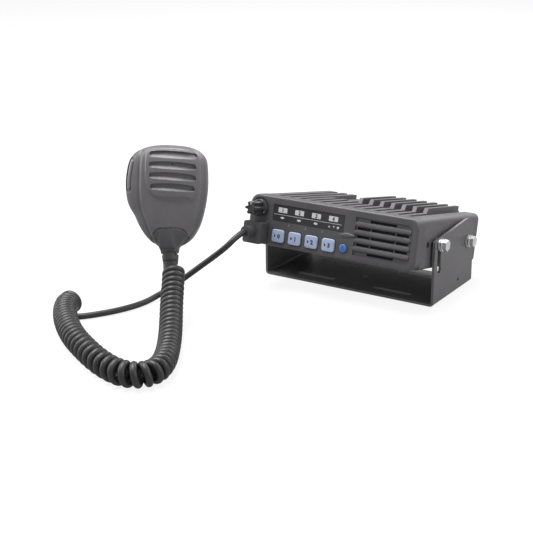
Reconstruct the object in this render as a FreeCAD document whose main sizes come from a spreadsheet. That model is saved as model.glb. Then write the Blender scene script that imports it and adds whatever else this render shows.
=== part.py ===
"""Mobile transceiver: radio in its tilting bracket, with a fist microphone on a coiled cord.

Millimetres. The row frame has +Z up, +X to the right as seen from the front, and the radio's
front faces -Y. The origin is the centre of the bracket's mounting pattern, on its underside.

Radio frame: X across, Y back from the front face, Z up from the underside.
Mic frame:   X across, Y from the face to the back, Z up, origin in the middle of the housing.
"""
import FreeCAD, Part
import math
import os
import re
import Sketcher

V = FreeCAD.Vector

SIZES = {
    # radio body
    "body_width": 150, "body_height": 40, "body_depth": 117.5, "panel_depth": 12.5,
    "corner": 8, "wall": 2.2, "chassis_half": 73.6, "shoulder": 39.5, "side_wall": 3.6,
    "fin_floor": 36, "fin_step": 9.7, "fin_width": 5, "fin_left": 63, "front_fin_end": 66,
    "rear_fin_start": 52, "rear_fin_top": 43.5, "rear_fin_width": 3.4, "boss_reach": 1.4,
    # controls on the front, from the radio's middle and underside
    "window_left": -52.5, "window_low": 20.7, "window_width": 65, "window_high": 13.3,
    "window_recess": 1.4, "key_left": -45.6, "key_pitch": 15.35, "key_width": 11,
    "key_tall": 9.9, "key_level": 9, "key_reach": 1.2, "key_gap": 0.35, "key_corner": 2,
    "power_across": 13.6, "power_level": 8.7, "power_round": 3.3,
    "knob_across": -64.8, "knob_level": 29.4, "knob_ring": 8.2, "knob_skirt": 6.8,
    "knob_grip": 5.6, "knob_reach": 15.2, "shaft_round": 3, "running": 0.05,
    "jack_across": -64.2, "jack_level": 9.8, "jack_width": 11.6, "jack_tall": 8.2,
    "boot_width": 16.8, "boot_tall": 17.6, "boot_deep": 10.3, "nub_round": 4.4, "nub_deep": 8.6,
    "grille_left": 22, "grille_right": 70, "grille_low": 4.8, "grille_high": 34.4,
    "slot_low": 6.8, "slot_pitch": 6.35, "slot_tall": 2, "speaker_across": 46.5,
    "speaker_level": 19.6, "speaker_round": 17,
    # bracket, its bolts and the tilt
    "bracket_half": 77.35, "sheet": 2, "bracket_deep": 72.5, "flange_front": 53.2,
    "flange_rear": 56.6, "flange_corner": 12, "pivot_back": 24.6, "pivot_level": 37.9,
    "bolt_level": 19.4, "bolt_rear": 90.1, "bolt_front": 37.3, "bolt_round": 2.5,
    "tilt": 11.8, "tilt_travel": 22, "slot_half": 2.8, "base_slot_across": 35.3,
    "base_slot_front": -24, "base_slot_back": 16, "base_slot_long": 34.5, "base_slot_half": 2.4,
    # microphone, its hanger and cord
    "mic_across": -94, "mic_ahead": -145, "mic_level": 93.5, "mic_turn": 26, "mic_lean": 15,
    "mic_roll": 3, "mic_front": 15, "mic_back": 16, "mic_shell": 2.2, "ptt_level": 14,
    "ptt_tall": 24, "ptt_near": -9.5, "ptt_deep": 6.5, "ptt_out": 29.9, "ptt_thick": 4.3,
    "ptt_slant": 9.5, "button_level": 8, "neck_round": 3, "hanger_leg": -4.2, "hanger_back": 13.9,
    "hanger_leg_half": 4.2, "relief_round": 5.4, "relief_end": -57, "relief_across": 0.8,
    "cord_round": 2.4, "coil_round": 8.4,
}

DOC = FreeCAD.newDocument("mobile_transceiver")
SHEET = DOC.addObject("Spreadsheet::Sheet", "Sizes")
for line, (alias, value) in enumerate(SIZES.items(), start=1):
    SHEET.set(f"A{line}", alias)
    SHEET.set(f"B{line}", str(value))
    SHEET.setAlias(f"B{line}", alias)
DOC.recompute()

PATHS = {
    "x": "Placement.Base.x",
    "y": "Placement.Base.y",
    "z": "Placement.Base.z",
}
SUB_PARTS = []


# ---------------------------------------------------------------- helpers

def rule(text):
    """Points every size named in an expression at its cell."""
    return re.sub(r"[a-z_]+", lambda m: "Sizes." + m[0] if m[0] in SIZES else m[0], str(text))


def bind(item, **rules):
    for name, text in rules.items():
        item.setExpression(PATHS.get(name, name), rule(text))
    return item


def box(name, size, low):
    """A block from its three sizes and its low corner."""
    item = DOC.addObject("Part::Box", name)
    bind(item, Length=size[0], Width=size[1], Height=size[2], x=low[0], y=low[1], z=low[2])
    return item


TURNS = {
    "x": FreeCAD.Rotation(V(0, 1, 0), 90),
    "y": FreeCAD.Rotation(V(1, 0, 0), -90),
    "z": FreeCAD.Rotation(),
}


def rod(name, radius, length, start, along="z"):
    """A round bar from the centre of its first end, running towards + of an axis."""
    item = DOC.addObject("Part::Cylinder", name)
    item.Placement.Rotation = TURNS[along]
    bind(item, Radius=radius, Height=length, x=start[0], y=start[1], z=start[2])
    return item


def edges_along(shape, direction, keep=lambda middle: True):
    """Numbers of the straight edges that run along a direction."""
    found = []
    for number, edge in enumerate(shape.Edges, start=1):
        ends = [vertex.Point for vertex in edge.Vertexes]
        if len(ends) != 2 or edge.Curve.TypeId != "Part::GeomLine":
            continue
        run = (ends[1] - ends[0]).normalize()
        if abs(run.dot(direction)) > 0.999 and keep((ends[0] + ends[1]) * 0.5):
            found.append(number)
    return found


def filleted(shape, radius, direction):
    """A shape with its edges along a direction rounded."""
    return shape.makeFillet(radius, [shape.Edges[number - 1] for number in edges_along(shape, direction)])


AXES = {"x": V(1, 0, 0), "y": V(0, 1, 0), "z": V(0, 0, 1)}


def rounded(item, radius, along, keep=lambda middle: True):
    """Fillets the edges of a Part object that run along an axis."""
    DOC.recompute()
    numbers = edges_along(item.Shape, AXES[along], keep)
    fillet = DOC.addObject("Part::Fillet", item.Name + "_rounded")
    fillet.Base = item
    fillet.Edges = [(number, radius, radius) for number in numbers]
    return fillet


def joined(name, *items):
    if len(items) == 1:
        return items[0]
    fuse = DOC.addObject("Part::MultiFuse", name)
    fuse.Shapes = list(items)
    return fuse


def cut(name, base, *tools):
    result = DOC.addObject("Part::Cut", name)
    result.Base = base
    result.Tool = joined(name + "_tools", *tools)
    return result


def sub_part(label, frame, *items):
    """Registers one node: a single result, or a group of separate solids."""
    single = len(items) == 1 and items[0].TypeId not in ("Part::Box", "Part::Cylinder")
    if single:
        item = items[0]
    else:
        item = DOC.addObject("Part::Compound", label + "_group")
        item.Links = list(items)
    item.Label = label
    item.Placement = frame
    SUB_PARTS.append(item)
    return item


def shaped(label, frame, shape):
    """A node whose shape comes straight from Part's functions."""
    item = DOC.addObject("Part::Feature", label)
    item.Shape = shape
    item.Placement = frame * shape.Placement
    SUB_PARTS.append(item)
    return item


def new_body(label):
    body = DOC.addObject("PartDesign::Body", label)
    body.Label = label
    return body


def sketch_on(body, role, offset):
    """A sketch on one of the body's origin planes, moved along that plane's normal."""
    sketch = body.newObject("Sketcher::SketchObject", body.Name + "_sketch")
    plane = next(item for item in body.Origin.OriginFeatures if item.Role == role)
    sketch.AttachmentSupport = (plane, [""])
    sketch.MapMode = "FlatFace"
    sketch.setExpression("AttachmentOffset.Base.z", rule(offset))
    return sketch


def hold(sketch, kind, geometry, point, value, text):
    number = sketch.addConstraint(Sketcher.Constraint(kind, -1, 1, geometry, point, value))
    sketch.setExpression(f"Constraints[{number}]", rule(text))


def outline(body, role, offset, corners):
    """A closed outline of straight lines whose corners follow the sheet."""
    sketch = sketch_on(body, role, offset)
    count = len(corners)
    start = [V(9 * math.cos(0.3 + math.tau * i / count), 9 * math.sin(0.3 + math.tau * i / count), 0)
             for i in range(count)]
    for i in range(count):
        sketch.addGeometry(Part.LineSegment(start[i], start[(i + 1) % count]), False)
    for i in range(count):
        sketch.addConstraint(Sketcher.Constraint("Coincident", i, 2, (i + 1) % count, 1))
    for i, (across, up) in enumerate(corners):
        hold(sketch, "DistanceX", i, 1, start[i].x, across)
        hold(sketch, "DistanceY", i, 1, start[i].y, up)
    return sketch


def rectangle(body, role, offset, left, right, low, high):
    return outline(body, role, offset, [(left, low), (right, low), (right, high), (left, high)])


def circles(body, role, offset, rounds):
    """Circles given as (across, up, radius)."""
    sketch = sketch_on(body, role, offset)
    for i, (across, up, radius) in enumerate(rounds):
        sketch.addGeometry(Part.Circle(V(5 + 9 * i, 5, 0), V(0, 0, 1), 3), False)
        hold(sketch, "DistanceX", i, 3, 5 + 9 * i, across)
        hold(sketch, "DistanceY", i, 3, 5, up)
        number = sketch.addConstraint(Sketcher.Constraint("Radius", i, 3))
        sketch.setExpression(f"Constraints[{number}]", rule(radius))
    return sketch


def pad(body, sketch, length, backwards=False):
    feature = body.newObject("PartDesign::Pad", body.Name + "_pad")
    feature.Profile = sketch
    feature.setExpression("Length", rule(length))
    feature.Reversed = backwards
    return feature


def pocket(body, sketch, length, backwards=False):
    """Cuts a sketch through the body, and insists that it removed something."""
    DOC.recompute()
    before = body.Shape.Volume
    feature = body.newObject("PartDesign::Pocket", body.Name + "_pocket")
    feature.Profile = sketch
    feature.setExpression("Length", rule(length))
    feature.Reversed = backwards
    DOC.recompute()
    assert body.Shape.Volume < before - 0.1, f"{body.Label}: a pocket cut nothing"
    return feature


def rounded_body(body, radius, along, keep=lambda middle: True):
    DOC.recompute()
    base = body.Tip
    numbers = edges_along(base.Shape, AXES[along], keep)
    fillet = body.newObject("PartDesign::Fillet", body.Name + "_fillet")
    fillet.Base = (base, [f"Edge{number}" for number in numbers])
    fillet.Radius = radius
    return fillet


def repeated(body, feature, direction, length, count):
    """Repeats a feature along one of the body's own axes."""
    DOC.recompute()
    pattern = body.newObject("PartDesign::LinearPattern", body.Name + "_row")
    pattern.Originals = [feature]
    pattern.Direction = (next(i for i in body.Origin.OriginFeatures if i.Role == direction), [""])
    pattern.setExpression("Length", rule(length))
    pattern.Occurrences = count
    body.Tip = pattern
    return pattern


# ---------------------------------------------------------------- frames

def size(alias):
    return float(SHEET.get(alias))


def radio_frame():
    """The radio hangs on its rear bolts, nose up by the tilt."""
    turn = FreeCAD.Rotation(V(1, 0, 0), -size("tilt"))
    pivot = V(0, size("pivot_back"), size("pivot_level"))
    return FreeCAD.Placement(pivot - turn.multVec(V(0, size("bolt_rear"), size("bolt_level"))), turn)


def stand_frame():
    """Where the microphone hangs, upright: the frame of the hanger's leg."""
    place = V(size("mic_across"), size("mic_ahead"), size("mic_level"))
    return FreeCAD.Placement(place, FreeCAD.Rotation(V(0, 0, 1), size("mic_turn")))


def mic_frame():
    """The stand's frame leaned back and rolled a little."""
    lean = FreeCAD.Placement(V(0, 0, 0), FreeCAD.Rotation(V(1, 0, 0), -size("mic_lean")))
    roll = FreeCAD.Placement(V(0, 0, 0), FreeCAD.Rotation(V(0, 1, 0), -size("mic_roll")))
    return stand_frame() * lean * roll


ROW = FreeCAD.Placement()
RADIO = radio_frame()
STAND = stand_frame()
MIC = mic_frame()
SIDES = {"left": -1, "right": 1}


# ---------------------------------------------------------------- radio: shells

def front_panel():
    outer = rounded(box("panel_block", ("body_width", "panel_depth", "body_height"),
                        ("-body_width / 2", 0, 0)), size("corner"), "y")
    DOC.recompute()
    front_edges = [n for n, edge in enumerate(outer.Shape.Edges, start=1)
                   if edge.BoundBox.YMax < 0.01]
    soft = DOC.addObject("Part::Fillet", "panel_soft")
    soft.Base = outer
    soft.Edges = [(number, 1.8, 1.8) for number in front_edges]
    hollow = rounded(box("panel_hollow", ("body_width - 2 * wall", "panel_depth", "body_height - 2 * wall"),
                         ("wall - body_width / 2", "wall", "wall")), size("corner") - 2, "y")
    window = box("window_recess_tool", ("window_width", "window_recess + 1", "window_high"),
                 ("window_left", -1, "window_low"))
    sight = box("window_sight_tool", ("window_width - 4", "wall + 2", "window_high - 3"),
                ("window_left + 2", -1, "window_low + 1.5"))
    ring = rod("knob_ring_tool", "knob_ring", 1.8, ("knob_across", -1, "knob_level"), "y")
    shaft = rod("shaft_hole_tool", "shaft_round + 0.6", "wall + 2", ("knob_across", -1, "knob_level"), "y")
    power = rod("power_hole_tool", "power_round + key_gap", "wall + 2",
                ("power_across", -1, "power_level"), "y")
    jack = box("jack_hole_tool", ("jack_width + 0.6", "wall + 2", "jack_tall + 0.6"),
               ("jack_across - jack_width / 2 - 0.3", -1, "jack_level - jack_tall / 2 - 0.3"))
    keys = [key_block(i, "key_hole_tool", "key_gap", "wall + 3", -1.5) for i in range(4)]
    grille = rounded(box("grille_recess_tool", ("grille_right - grille_left", 2, "grille_high - grille_low"),
                         ("grille_left", -1, "grille_low")), 4, "y", lambda middle: middle.x > 50)
    tools = [hollow, window, sight, ring, shaft, power, jack, grille] + keys + grille_slots()
    return sub_part("front_panel", RADIO, cut("panel_cut", soft, *tools))


def grille_slots():
    """Five rows of sound slots: three openings in the middle rows, one in the outer rows."""
    middle_row = ((24, 35), (36, 56), (57, 67.3))
    rows = [((34, 56.5),), middle_row, middle_row, middle_row, ((34, 56.5),)]
    tools = []
    for i, row in enumerate(rows):
        for j, (left, right) in enumerate(row):
            tools.append(box(f"sound_slot_{i}_{j}", (right - left, "wall + 2", "slot_tall"),
                             (left, -1, f"slot_low + {i} * slot_pitch - slot_tall / 2")))
    return tools


def key_block(i, name, grow, deep, start):
    block = box(f"{name}_{i}", (f"key_width + 2 * {grow}", deep, f"key_tall + 2 * {grow}"),
                (f"key_left + {i} * key_pitch - key_width / 2 - {grow}", start,
                 f"key_level - key_tall / 2 - {grow}"))
    return rounded(block, size("key_corner"), "y")


def chassis():
    """Die-cast body, open to the front and below, with ribs and taller rear fins on top."""
    body = new_body("chassis")
    long_way = "body_depth - panel_depth"
    pad(body, rectangle(body, "XZ_Plane", "-panel_depth", "-chassis_half", "chassis_half", 0, "shoulder"),
        long_way, True)
    rounded_body(body, 5, "y", lambda middle: middle.z > 30)
    rounded_body(body, 3, "y", lambda middle: middle.z < 10)
    top = "fin_left + fin_width / 2"
    pocket(body, rectangle(body, "XZ_Plane", "-panel_depth", f"-{top.replace('+', '-')}", top,
                           "fin_floor", "shoulder + 1"), long_way, False)
    inner = "chassis_half - side_wall"
    pocket(body, rectangle(body, "XZ_Plane", "-panel_depth", f"side_wall - chassis_half", inner,
                           "-1", "fin_floor - 4"), "body_depth - panel_depth - side_wall", False)
    screw_posts(body)
    bolt_bosses(body)
    rear_openings(body)
    ribs(body, "-fin_left", 3, "body_depth - 0.5")
    ribs(body, "3 * fin_step - fin_left", 9, "front_fin_end")
    ribs(body, "12 * fin_step - fin_left", 2, "body_depth - 0.5")
    rear_fins(body)
    body.Placement = RADIO
    SUB_PARTS.append(body)


def ribs(body, first, count, end):
    start = "panel_depth + 1.5"
    rib = pad(body, rectangle(body, "XY_Plane", "fin_floor - 1", f"{first} - fin_width / 2",
                              f"{first} + fin_width / 2", start, end), "shoulder - fin_floor + 1")
    repeated(body, rib, "X_Axis", f"{count - 1} * fin_step", count)


def rear_fins(body):
    end = "body_depth - 0.5"
    first = "6 * fin_step - fin_left"
    fin = pad(body, outline(body, "YZ_Plane", f"{first} - rear_fin_width / 2",
                            [("rear_fin_start", "fin_floor - 1"), (end, "fin_floor - 1"),
                             (end, "rear_fin_top"), ("rear_fin_start + 5", "rear_fin_top")]),
              "rear_fin_width")
    repeated(body, fin, "X_Axis", "6 * fin_step", 7)


POSTS = [("-62", "24"), ("62", "24"), ("-62", "106"), ("62", "106")]


def screw_posts(body):
    posts = circles(body, "XY_Plane", 1.6, [(x, y, 4) for x, y in POSTS])
    pad(body, posts, "fin_floor - 5")
    holes = circles(body, "XY_Plane", 1, [(x, y, 1.3) for x, y in POSTS])
    pocket(body, holes, 9, True)


def bolt_bosses(body):
    """Raised pads that keep the radio off the bracket, and the bolts' threaded holes."""
    places = [("bolt_front", "bolt_level"), ("bolt_rear", "bolt_level")]
    extra = [("panel_depth + 10.5", "bolt_level")]
    for offset, backwards in (("chassis_half - 1", False), ("1 - chassis_half", True)):
        bosses = circles(body, "YZ_Plane", offset, [(y, z, 5) for y, z in places])
        pad(body, bosses, "boss_reach + 1", backwards)
    holes = circles(body, "YZ_Plane", "-chassis_half - 5",
                    [(y, z, "bolt_round") for y, z in places + extra])
    pocket(body, holes, "2 * chassis_half + 10", True)


def rear_openings(body):
    rounds = circles(body, "XZ_Plane", "-body_depth - 1", [("45", "20", 7.9), ("5", "20", 3.9)])
    pocket(body, rounds, 6, True)
    power = rectangle(body, "XZ_Plane", "-body_depth - 1", "-56", "-34", "13", "27")
    pocket(body, power, 6, True)


def bottom_cover():
    body = new_body("bottom_cover")
    half = "chassis_half - side_wall - 0.2"
    low = f"-({half})"
    pad(body, rectangle(body, "XY_Plane", "0.4", low, half, "panel_depth + 0.3",
                        "body_depth - side_wall - 0.2"), 1.2)
    pocket(body, circles(body, "XY_Plane", "0.4", [(x, y, 1.7) for x, y in POSTS]), 2, True)
    body.Placement = RADIO
    SUB_PARTS.append(body)


def cover_screws():
    screws = []
    for i, (x, y) in enumerate(POSTS):
        head = rod(f"cover_head_{i}", 2.8, 1, (x, y, "-0.6"))
        shank = rod(f"cover_shank_{i}", 1.3, 6, (x, y, "0.2"))
        screws.append(joined(f"cover_screw_{i}", head, shank))
    sub_part("cover_screws", RADIO, *screws)


# ---------------------------------------------------------------- radio: front controls

def display_window():
    pane = rounded(box("pane", ("window_width - 0.4", "window_recess - 0.4", "window_high - 0.4"),
                       ("window_left + 0.2", "0.4", "window_low + 0.2")), 0.8, "y")
    sub_part("display_window", RADIO, pane)


def indicator_lights():
    """Three light pipes that stand between the front board and the window."""
    pipes = [rod(f"light_pipe_{i}", 1.1, 7.2, (f"window_left + 9.3 + {i} * key_pitch", 1.6, 23.9), "y")
             for i in range(3)]
    sub_part("indicator_lights", RADIO, *pipes)


def channel_lamps():
    """Flat lamp blocks behind the four channel numbers."""
    lamps = [box(f"lamp_{i}", (8.4, 3.4, 4.6), (f"window_left + 5.1 + {i} * key_pitch", 5.4, 27.6))
             for i in range(4)]
    sub_part("channel_lamps", RADIO, *lamps)


def keys():
    for i in range(4):
        cap = key_block(i, "key_cap", "0", "key_reach + 5", "-key_reach")
        lip = box(f"key_lip_{i}", ("key_width + 2", 0.8, "key_tall + 2"),
                  (f"key_left + {i} * key_pitch - key_width / 2 - 1", "wall + 1.2", "key_level - key_tall / 2 - 1"))
        sub_part(f"function_key_{i}", RADIO, joined(f"key_{i}", cap, lip))
    cap = rod("power_cap", "power_round", 6, ("power_across", -1, "power_level"), "y")
    lip = rod("power_lip", "power_round + 1", 0.8, ("power_across", "wall + 1.2", "power_level"), "y")
    sub_part("power_key", RADIO, joined("power_key_solid", cap, lip))


def key_switches():
    switches = []
    for i in range(4):
        corner = (f"key_left + {i} * key_pitch - 2.5", 6.4, "key_level - 2.5")
        switches.append(box(f"dome_{i}", (5, 2.4, 5), corner))
    switches.append(box("dome_power", (5, 2.4, 5), ("power_across - 2.5", 6.4, "power_level - 2.5")))
    sub_part("key_switches", RADIO, *switches)


def front_board():
    """L-shaped board that stops short of the microphone jack and the speaker."""
    body = new_body("front_board")
    corners = [("-54", "3.4"), ("24", "3.4"), ("24", "36"), ("-71", "36"), ("-71", "21"), ("-54", "21")]
    pad(body, outline(body, "XZ_Plane", "-8.8", corners), 1.6, True)
    body.Placement = RADIO
    SUB_PARTS.append(body)


def volume_knob():
    """Skirted knob with six deep flutes, turned on the radio's depth axis."""
    body = new_body("volume_knob")
    profile = outline(body, "XY_Plane", 0, [
        ("shaft_round", "-1"), ("knob_skirt", "-1"), ("knob_skirt", "-3.4"), ("knob_grip + 0.3", "-4.4"),
        ("knob_grip", "0.8 - knob_reach"), ("knob_grip - 0.8", "-knob_reach"), ("0", "-knob_reach"),
        ("0", "-10"), ("shaft_round", "-10")])
    turned = body.newObject("PartDesign::Revolution", "knob_turned")
    turned.Profile = profile
    turned.ReferenceAxis = (profile, ["V_Axis"])
    turned.Angle = 360
    DOC.recompute()
    flute = pocket(body, circles(body, "XZ_Plane", "4.6", [("knob_grip + 0.6", "0", 1.9)]), 20, True)
    ring = body.newObject("PartDesign::PolarPattern", "knob_flutes")
    ring.Originals = [flute]
    ring.Axis = (next(i for i in body.Origin.OriginFeatures if i.Role == "Y_Axis"), [""])
    ring.Angle = 360
    ring.Occurrences = 6
    body.Tip = ring
    place = FreeCAD.Placement(V(size("knob_across"), 0, size("knob_level")), FreeCAD.Rotation())
    body.Placement = RADIO.multiply(place)
    SUB_PARTS.append(body)


def volume_pot():
    shaft = rod("shaft_bar", "shaft_round", 18, ("knob_across", -10, "knob_level"), "y")
    sub_part("knob_shaft", RADIO, shaft)
    case = box("pot_case", (12, 6.2, 12), ("knob_across - 6", 2.5, "knob_level - 6"))
    bore = rod("pot_bore", "shaft_round + running", 9, ("knob_across", 1, "knob_level"), "y")
    sub_part("volume_control", RADIO, cut("pot_cut", case, bore))


# ---------------------------------------------------------------- radio: jack, plug, speaker

def mic_jack():
    case = box("jack_case", (13.6, 9.8, 11.4), ("jack_across - 6.8", 2.4, "jack_level - 5.7"))
    hollow = box("jack_hollow", ("jack_width", 8, "jack_tall"),
                 ("jack_across - jack_width / 2", 1, "jack_level - jack_tall / 2"))
    sub_part("mic_jack", RADIO, cut("jack_cut", case, hollow))


def cord_plug():
    plug = box("plug_block", ("jack_width", 9, "jack_tall"),
               ("jack_across - jack_width / 2", "-0.2", "jack_level - jack_tall / 2"))
    sub_part("cord_plug", RADIO, plug)


def plug_boot():
    block = rounded(box("boot_block", ("boot_width", "boot_deep", "boot_tall"),
                        ("jack_across - boot_width / 2", "-boot_deep - 0.2", "jack_level - boot_tall / 2")),
                    2, "y")
    nub = rod("boot_nub", "nub_round", "nub_deep + 1",
              ("jack_across - 1", "-boot_deep - nub_deep - 0.2", "jack_level + 0.8"), "y")
    sub_part("plug_boot", RADIO, joined("boot_solid", block, nub))


def speaker():
    middle = ("speaker_across", "speaker_level")
    frame = rod("speaker_ring", "speaker_round", 3, (middle[0], 3.2, middle[1]), "y")
    mouth = rod("speaker_mouth", "speaker_round - 2", 5, (middle[0], 2, middle[1]), "y")
    sub_part("speaker_frame", RADIO, cut("speaker_frame_cut", frame, mouth))
    cone = DOC.addObject("Part::Cone", "cone")
    cone.Placement.Rotation = TURNS["y"]
    bind(cone, Radius1="speaker_round - 2.2", Radius2=6, Height=5, x=middle[0], y=4, z=middle[1])
    neck = rod("cone_neck", 6, 1, (middle[0], 9, middle[1]), "y")
    sub_part("speaker_cone", RADIO, joined("cone_joined", cone, neck))
    sub_part("speaker_magnet", RADIO, rod("magnet", 9, 4.5, (middle[0], 10, middle[1]), "y"))
    felt = box("felt", (44, 0.6, 28), ("grille_left + 2.5", 2.3, "grille_low + 1"))
    sub_part("grille_felt", RADIO, felt)


# ---------------------------------------------------------------- radio: inside and rear

def electronics():
    sub_part("main_board", RADIO, box("main_sheet", (114, 96, 1.6), (-57, 16, 6)))
    sub_part("power_amplifier", RADIO, box("amplifier_block", (46, 14, 8), (4, 92, 7.6)))
    can = rounded(box("can_block", (52, 42, 5), (-44, 34, 7.6)), 1.5, "z")
    sub_part("shield_can", RADIO, can)


def rear_connectors():
    barrel = rod("antenna_barrel", 7.9, 19, (45, "body_depth - side_wall - 1", 20), "y")
    inside = rod("antenna_inside", 5.9, 12, (45, "body_depth + 3", 20), "y")
    plate = box("antenna_plate", (23, 1.6, 23), (33.5, "body_depth", 8.5))
    sub_part("antenna_socket", RADIO, cut("antenna_cut", joined("antenna_solid", barrel, plate), inside))
    insert = rod("antenna_core", 5.9, 11, (45, "body_depth + 3", 20), "y")
    pin_hole = rod("antenna_pin_hole", 2, 12, (45, "body_depth + 4", 20), "y")
    sub_part("antenna_insulator", RADIO, cut("insulator_cut", insert, pin_hole))
    case = box("inlet_case", (22, 16, 14), (-56, "body_depth - 10", 13))
    well = box("inlet_well", (17, 10, 9), (-53.5, "body_depth - 3", 15.5))
    sub_part("power_inlet", RADIO, cut("inlet_cut", case, well))
    tube = rod("jack_tube", 3.9, 14, (5, "body_depth - 11", 20), "y")
    hole = rod("jack_hole", 1.8, 12, (5, "body_depth - 8", 20), "y")
    sub_part("speaker_socket", RADIO, cut("speaker_socket_cut", tube, hole))


# ---------------------------------------------------------------- bracket and bolts

def mounting_bracket():
    """Folded steel U with slotted base and an arc slot in each ear for the front bolts."""
    body = new_body("bracket_sheet")
    half = "bracket_deep / 2"
    pad(body, rectangle(body, "XZ_Plane", half, "-bracket_half", "bracket_half", 0, "flange_rear"),
        "bracket_deep", True)
    pocket(body, rectangle(body, "XZ_Plane", half, "sheet - bracket_half", "bracket_half - sheet",
                           "sheet", "flange_rear + 1"), "bracket_deep")
    rounded_body(body, 3, "y", lambda middle: middle.z < 0.1)
    rounded_body(body, 1, "y", lambda middle: 1.5 < middle.z < 2.5)
    slope = outline(body, "YZ_Plane", "-bracket_half - 1",
                    [("-bracket_deep / 2 - 1", "flange_front"), ("bracket_deep / 3", "flange_rear"),
                     ("bracket_deep / 3", "flange_rear + 2"), ("-bracket_deep / 2 - 1", "flange_rear + 2")])
    pocket(body, slope, "2 * bracket_half + 2", True)
    rounded_body(body, size("flange_corner"), "x", lambda middle: middle.z > 40 and middle.y > 30)
    rounded_body(body, 2, "x", lambda middle: middle.z > 40 and middle.y < -30)
    base_holes(body)
    sub_part("mounting_bracket", ROW, cut("bracket_cut", body, *ear_slots()))


def base_holes(body):
    rows = ("base_slot_front", "base_slot_back")
    reach = "base_slot_long / 2 - base_slot_half"
    for i in (-1, 1):
        for row in rows:
            middle = f"{i} * base_slot_across"
            pocket(body, rectangle(body, "XY_Plane", "-1", f"{middle} - {reach.replace('-', '+')}",
                                   f"{middle} + {reach}", f"{row} - base_slot_half",
                                   f"{row} + base_slot_half"), 5, True)
            ends = [(f"{middle} - {reach.replace('-', '+')}", row, "base_slot_half"),
                    (f"{middle} + {reach}", row, "base_slot_half")]
            pocket(body, circles(body, "XY_Plane", "-1", ends), 5, True)
    middle = "(base_slot_front + base_slot_back) / 2"
    pocket(body, circles(body, "XY_Plane", "-1", [("0", middle, 2.6)]), 5, True)
    pocket(body, circles(body, "YZ_Plane", "-bracket_half - 1", [("9.3", "9.6", 1.5)]),
           "2 * bracket_half + 2", True)


def ear_slots():
    """Round pivot holes, and arc slots about the pivot that let the radio tilt."""
    pivot = V(0, size("pivot_back"), size("pivot_level"))
    reach = size("bolt_rear") - size("bolt_front")
    half = size("slot_half")
    wide = 2 * size("bracket_half") + 4
    spare = math.degrees(0.3 / reach)
    first = size("tilt") + spare
    sweep = size("tilt_travel") + 2 * spare
    tools = [rod("pivot_hole", "bolt_round + running", "2 * bracket_half + 4",
                 ("-bracket_half - 2", "pivot_back", "pivot_level"), "x")]
    sector = DOC.addObject("Part::Cylinder", "slot_sector")
    sector.Radius = reach + half
    sector.Height = wide
    sector.Angle = sweep
    turn = FreeCAD.Rotation(V(1, 0, 0), 180 - first)
    facing = turn * TURNS["x"] * FreeCAD.Rotation(V(0, 0, 1), 90)
    sector.Placement = FreeCAD.Placement(pivot - V(wide / 2, 0, 0), facing)
    core = rod("slot_core", reach - half, wide, (-wide / 2, "pivot_back", "pivot_level"), "x")
    tools.append(cut("slot_band", sector, core))
    for i, angle in enumerate((first, first - sweep)):
        lean = math.radians(180 - angle)
        tools.append(rod(f"slot_end_{i}", half, wide,
                         (-wide / 2, pivot.y + reach * math.cos(lean), pivot.z + reach * math.sin(lean)), "x"))
    return tools


def bolts():
    """Hex bolts with spring and flat washers, screwed into the chassis through the bracket."""
    washers = []
    springs = []
    for name, back in (("front_bolts", "bolt_front"), ("rear_bolts", "bolt_rear")):
        pair = []
        for side, sign in SIDES.items():
            tag = f"{name}_{side}"

            def bar(part, radius, inner, outer):
                start = inner if sign > 0 else f"-({outer})"
                return rod(f"{tag}_{part}", radius, f"{outer} - ({inner})", (start, back, "bolt_level"), "x")

            face = "bracket_half + 0.3"
            head = DOC.addObject("Part::Prism", f"{tag}_head")
            head.Polygon = 6
            head.Circumradius = 4.6
            head.Height = 3.4
            head.Placement.Rotation = TURNS["x"]
            start = f"{face} + 2.8" if sign > 0 else f"-({face} + 2.8 + 3.4)"
            bind(head, x=start, y=back, z="bolt_level")
            collar = bar("collar", 4.9, f"{face} + 2.2", f"{face} + 2.9")
            shank = bar("shank", "bolt_round", "chassis_half - 6", f"{face} + 2.3")
            pair.append(joined(f"{tag}_solid", head, collar, shank))
            washers.append(cut(f"{tag}_washer", bar("disc", 5, face, f"{face} + 1"),
                               bar("disc_hole", "bolt_round + running", f"{face} - 1", f"{face} + 2")))
            springs.append(cut(f"{tag}_spring", bar("coil", 4.3, f"{face} + 1", f"{face} + 2.2"),
                               bar("coil_hole", "bolt_round + running", f"{face} - 1", f"{face} + 3")))
        sub_part(name, RADIO, *pair)
    sub_part("flat_washers", RADIO, *washers)
    sub_part("spring_washers", RADIO, *springs)


# ---------------------------------------------------------------- microphone

# The housing's outline as seen from the front, from the cord end round to the right and back.
HOUSING = [(13.2, -38.6), (18.8, -34.0), (24.3, -24.9), (28.3, -12.2), (30.8, 1.8), (31.3, 14.5), (30.6, 23.2),
           (27.9, 28.2), (23.0, 31.8), (15.3, 34.3), (1.7, 35.8), (-8.1, 35.7), (-14.7, 34.4), (-21.3, 31.8),
           (-25.4, 28.2), (-28.3, 22.8), (-30.4, 13.3), (-30.9, 3.7), (-30.2, -4.1), (-28.4, -9.9),
           (-24.8, -16.5), (-21.5, -24.3), (-17.2, -31.5), (-12.2, -37.2)]


def housing_wire(depth, grow):
    """The housing's outline at one depth, moved in by a distance towards the middle."""
    middle = V(0.2, depth, 0)
    points = []
    for across, up in HOUSING:
        spoke = V(across, depth, up) - middle
        points.append(middle + spoke * ((spoke.Length - grow) / spoke.Length))
    curve = Part.BSplineCurve()
    curve.interpolate(Points=points, PeriodicFlag=True)
    return Part.Wire([curve.toShape()])


def housing_loft(sections):
    return Part.makeLoft([housing_wire(depth, grow) for depth, grow in sections], True, False)


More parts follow.
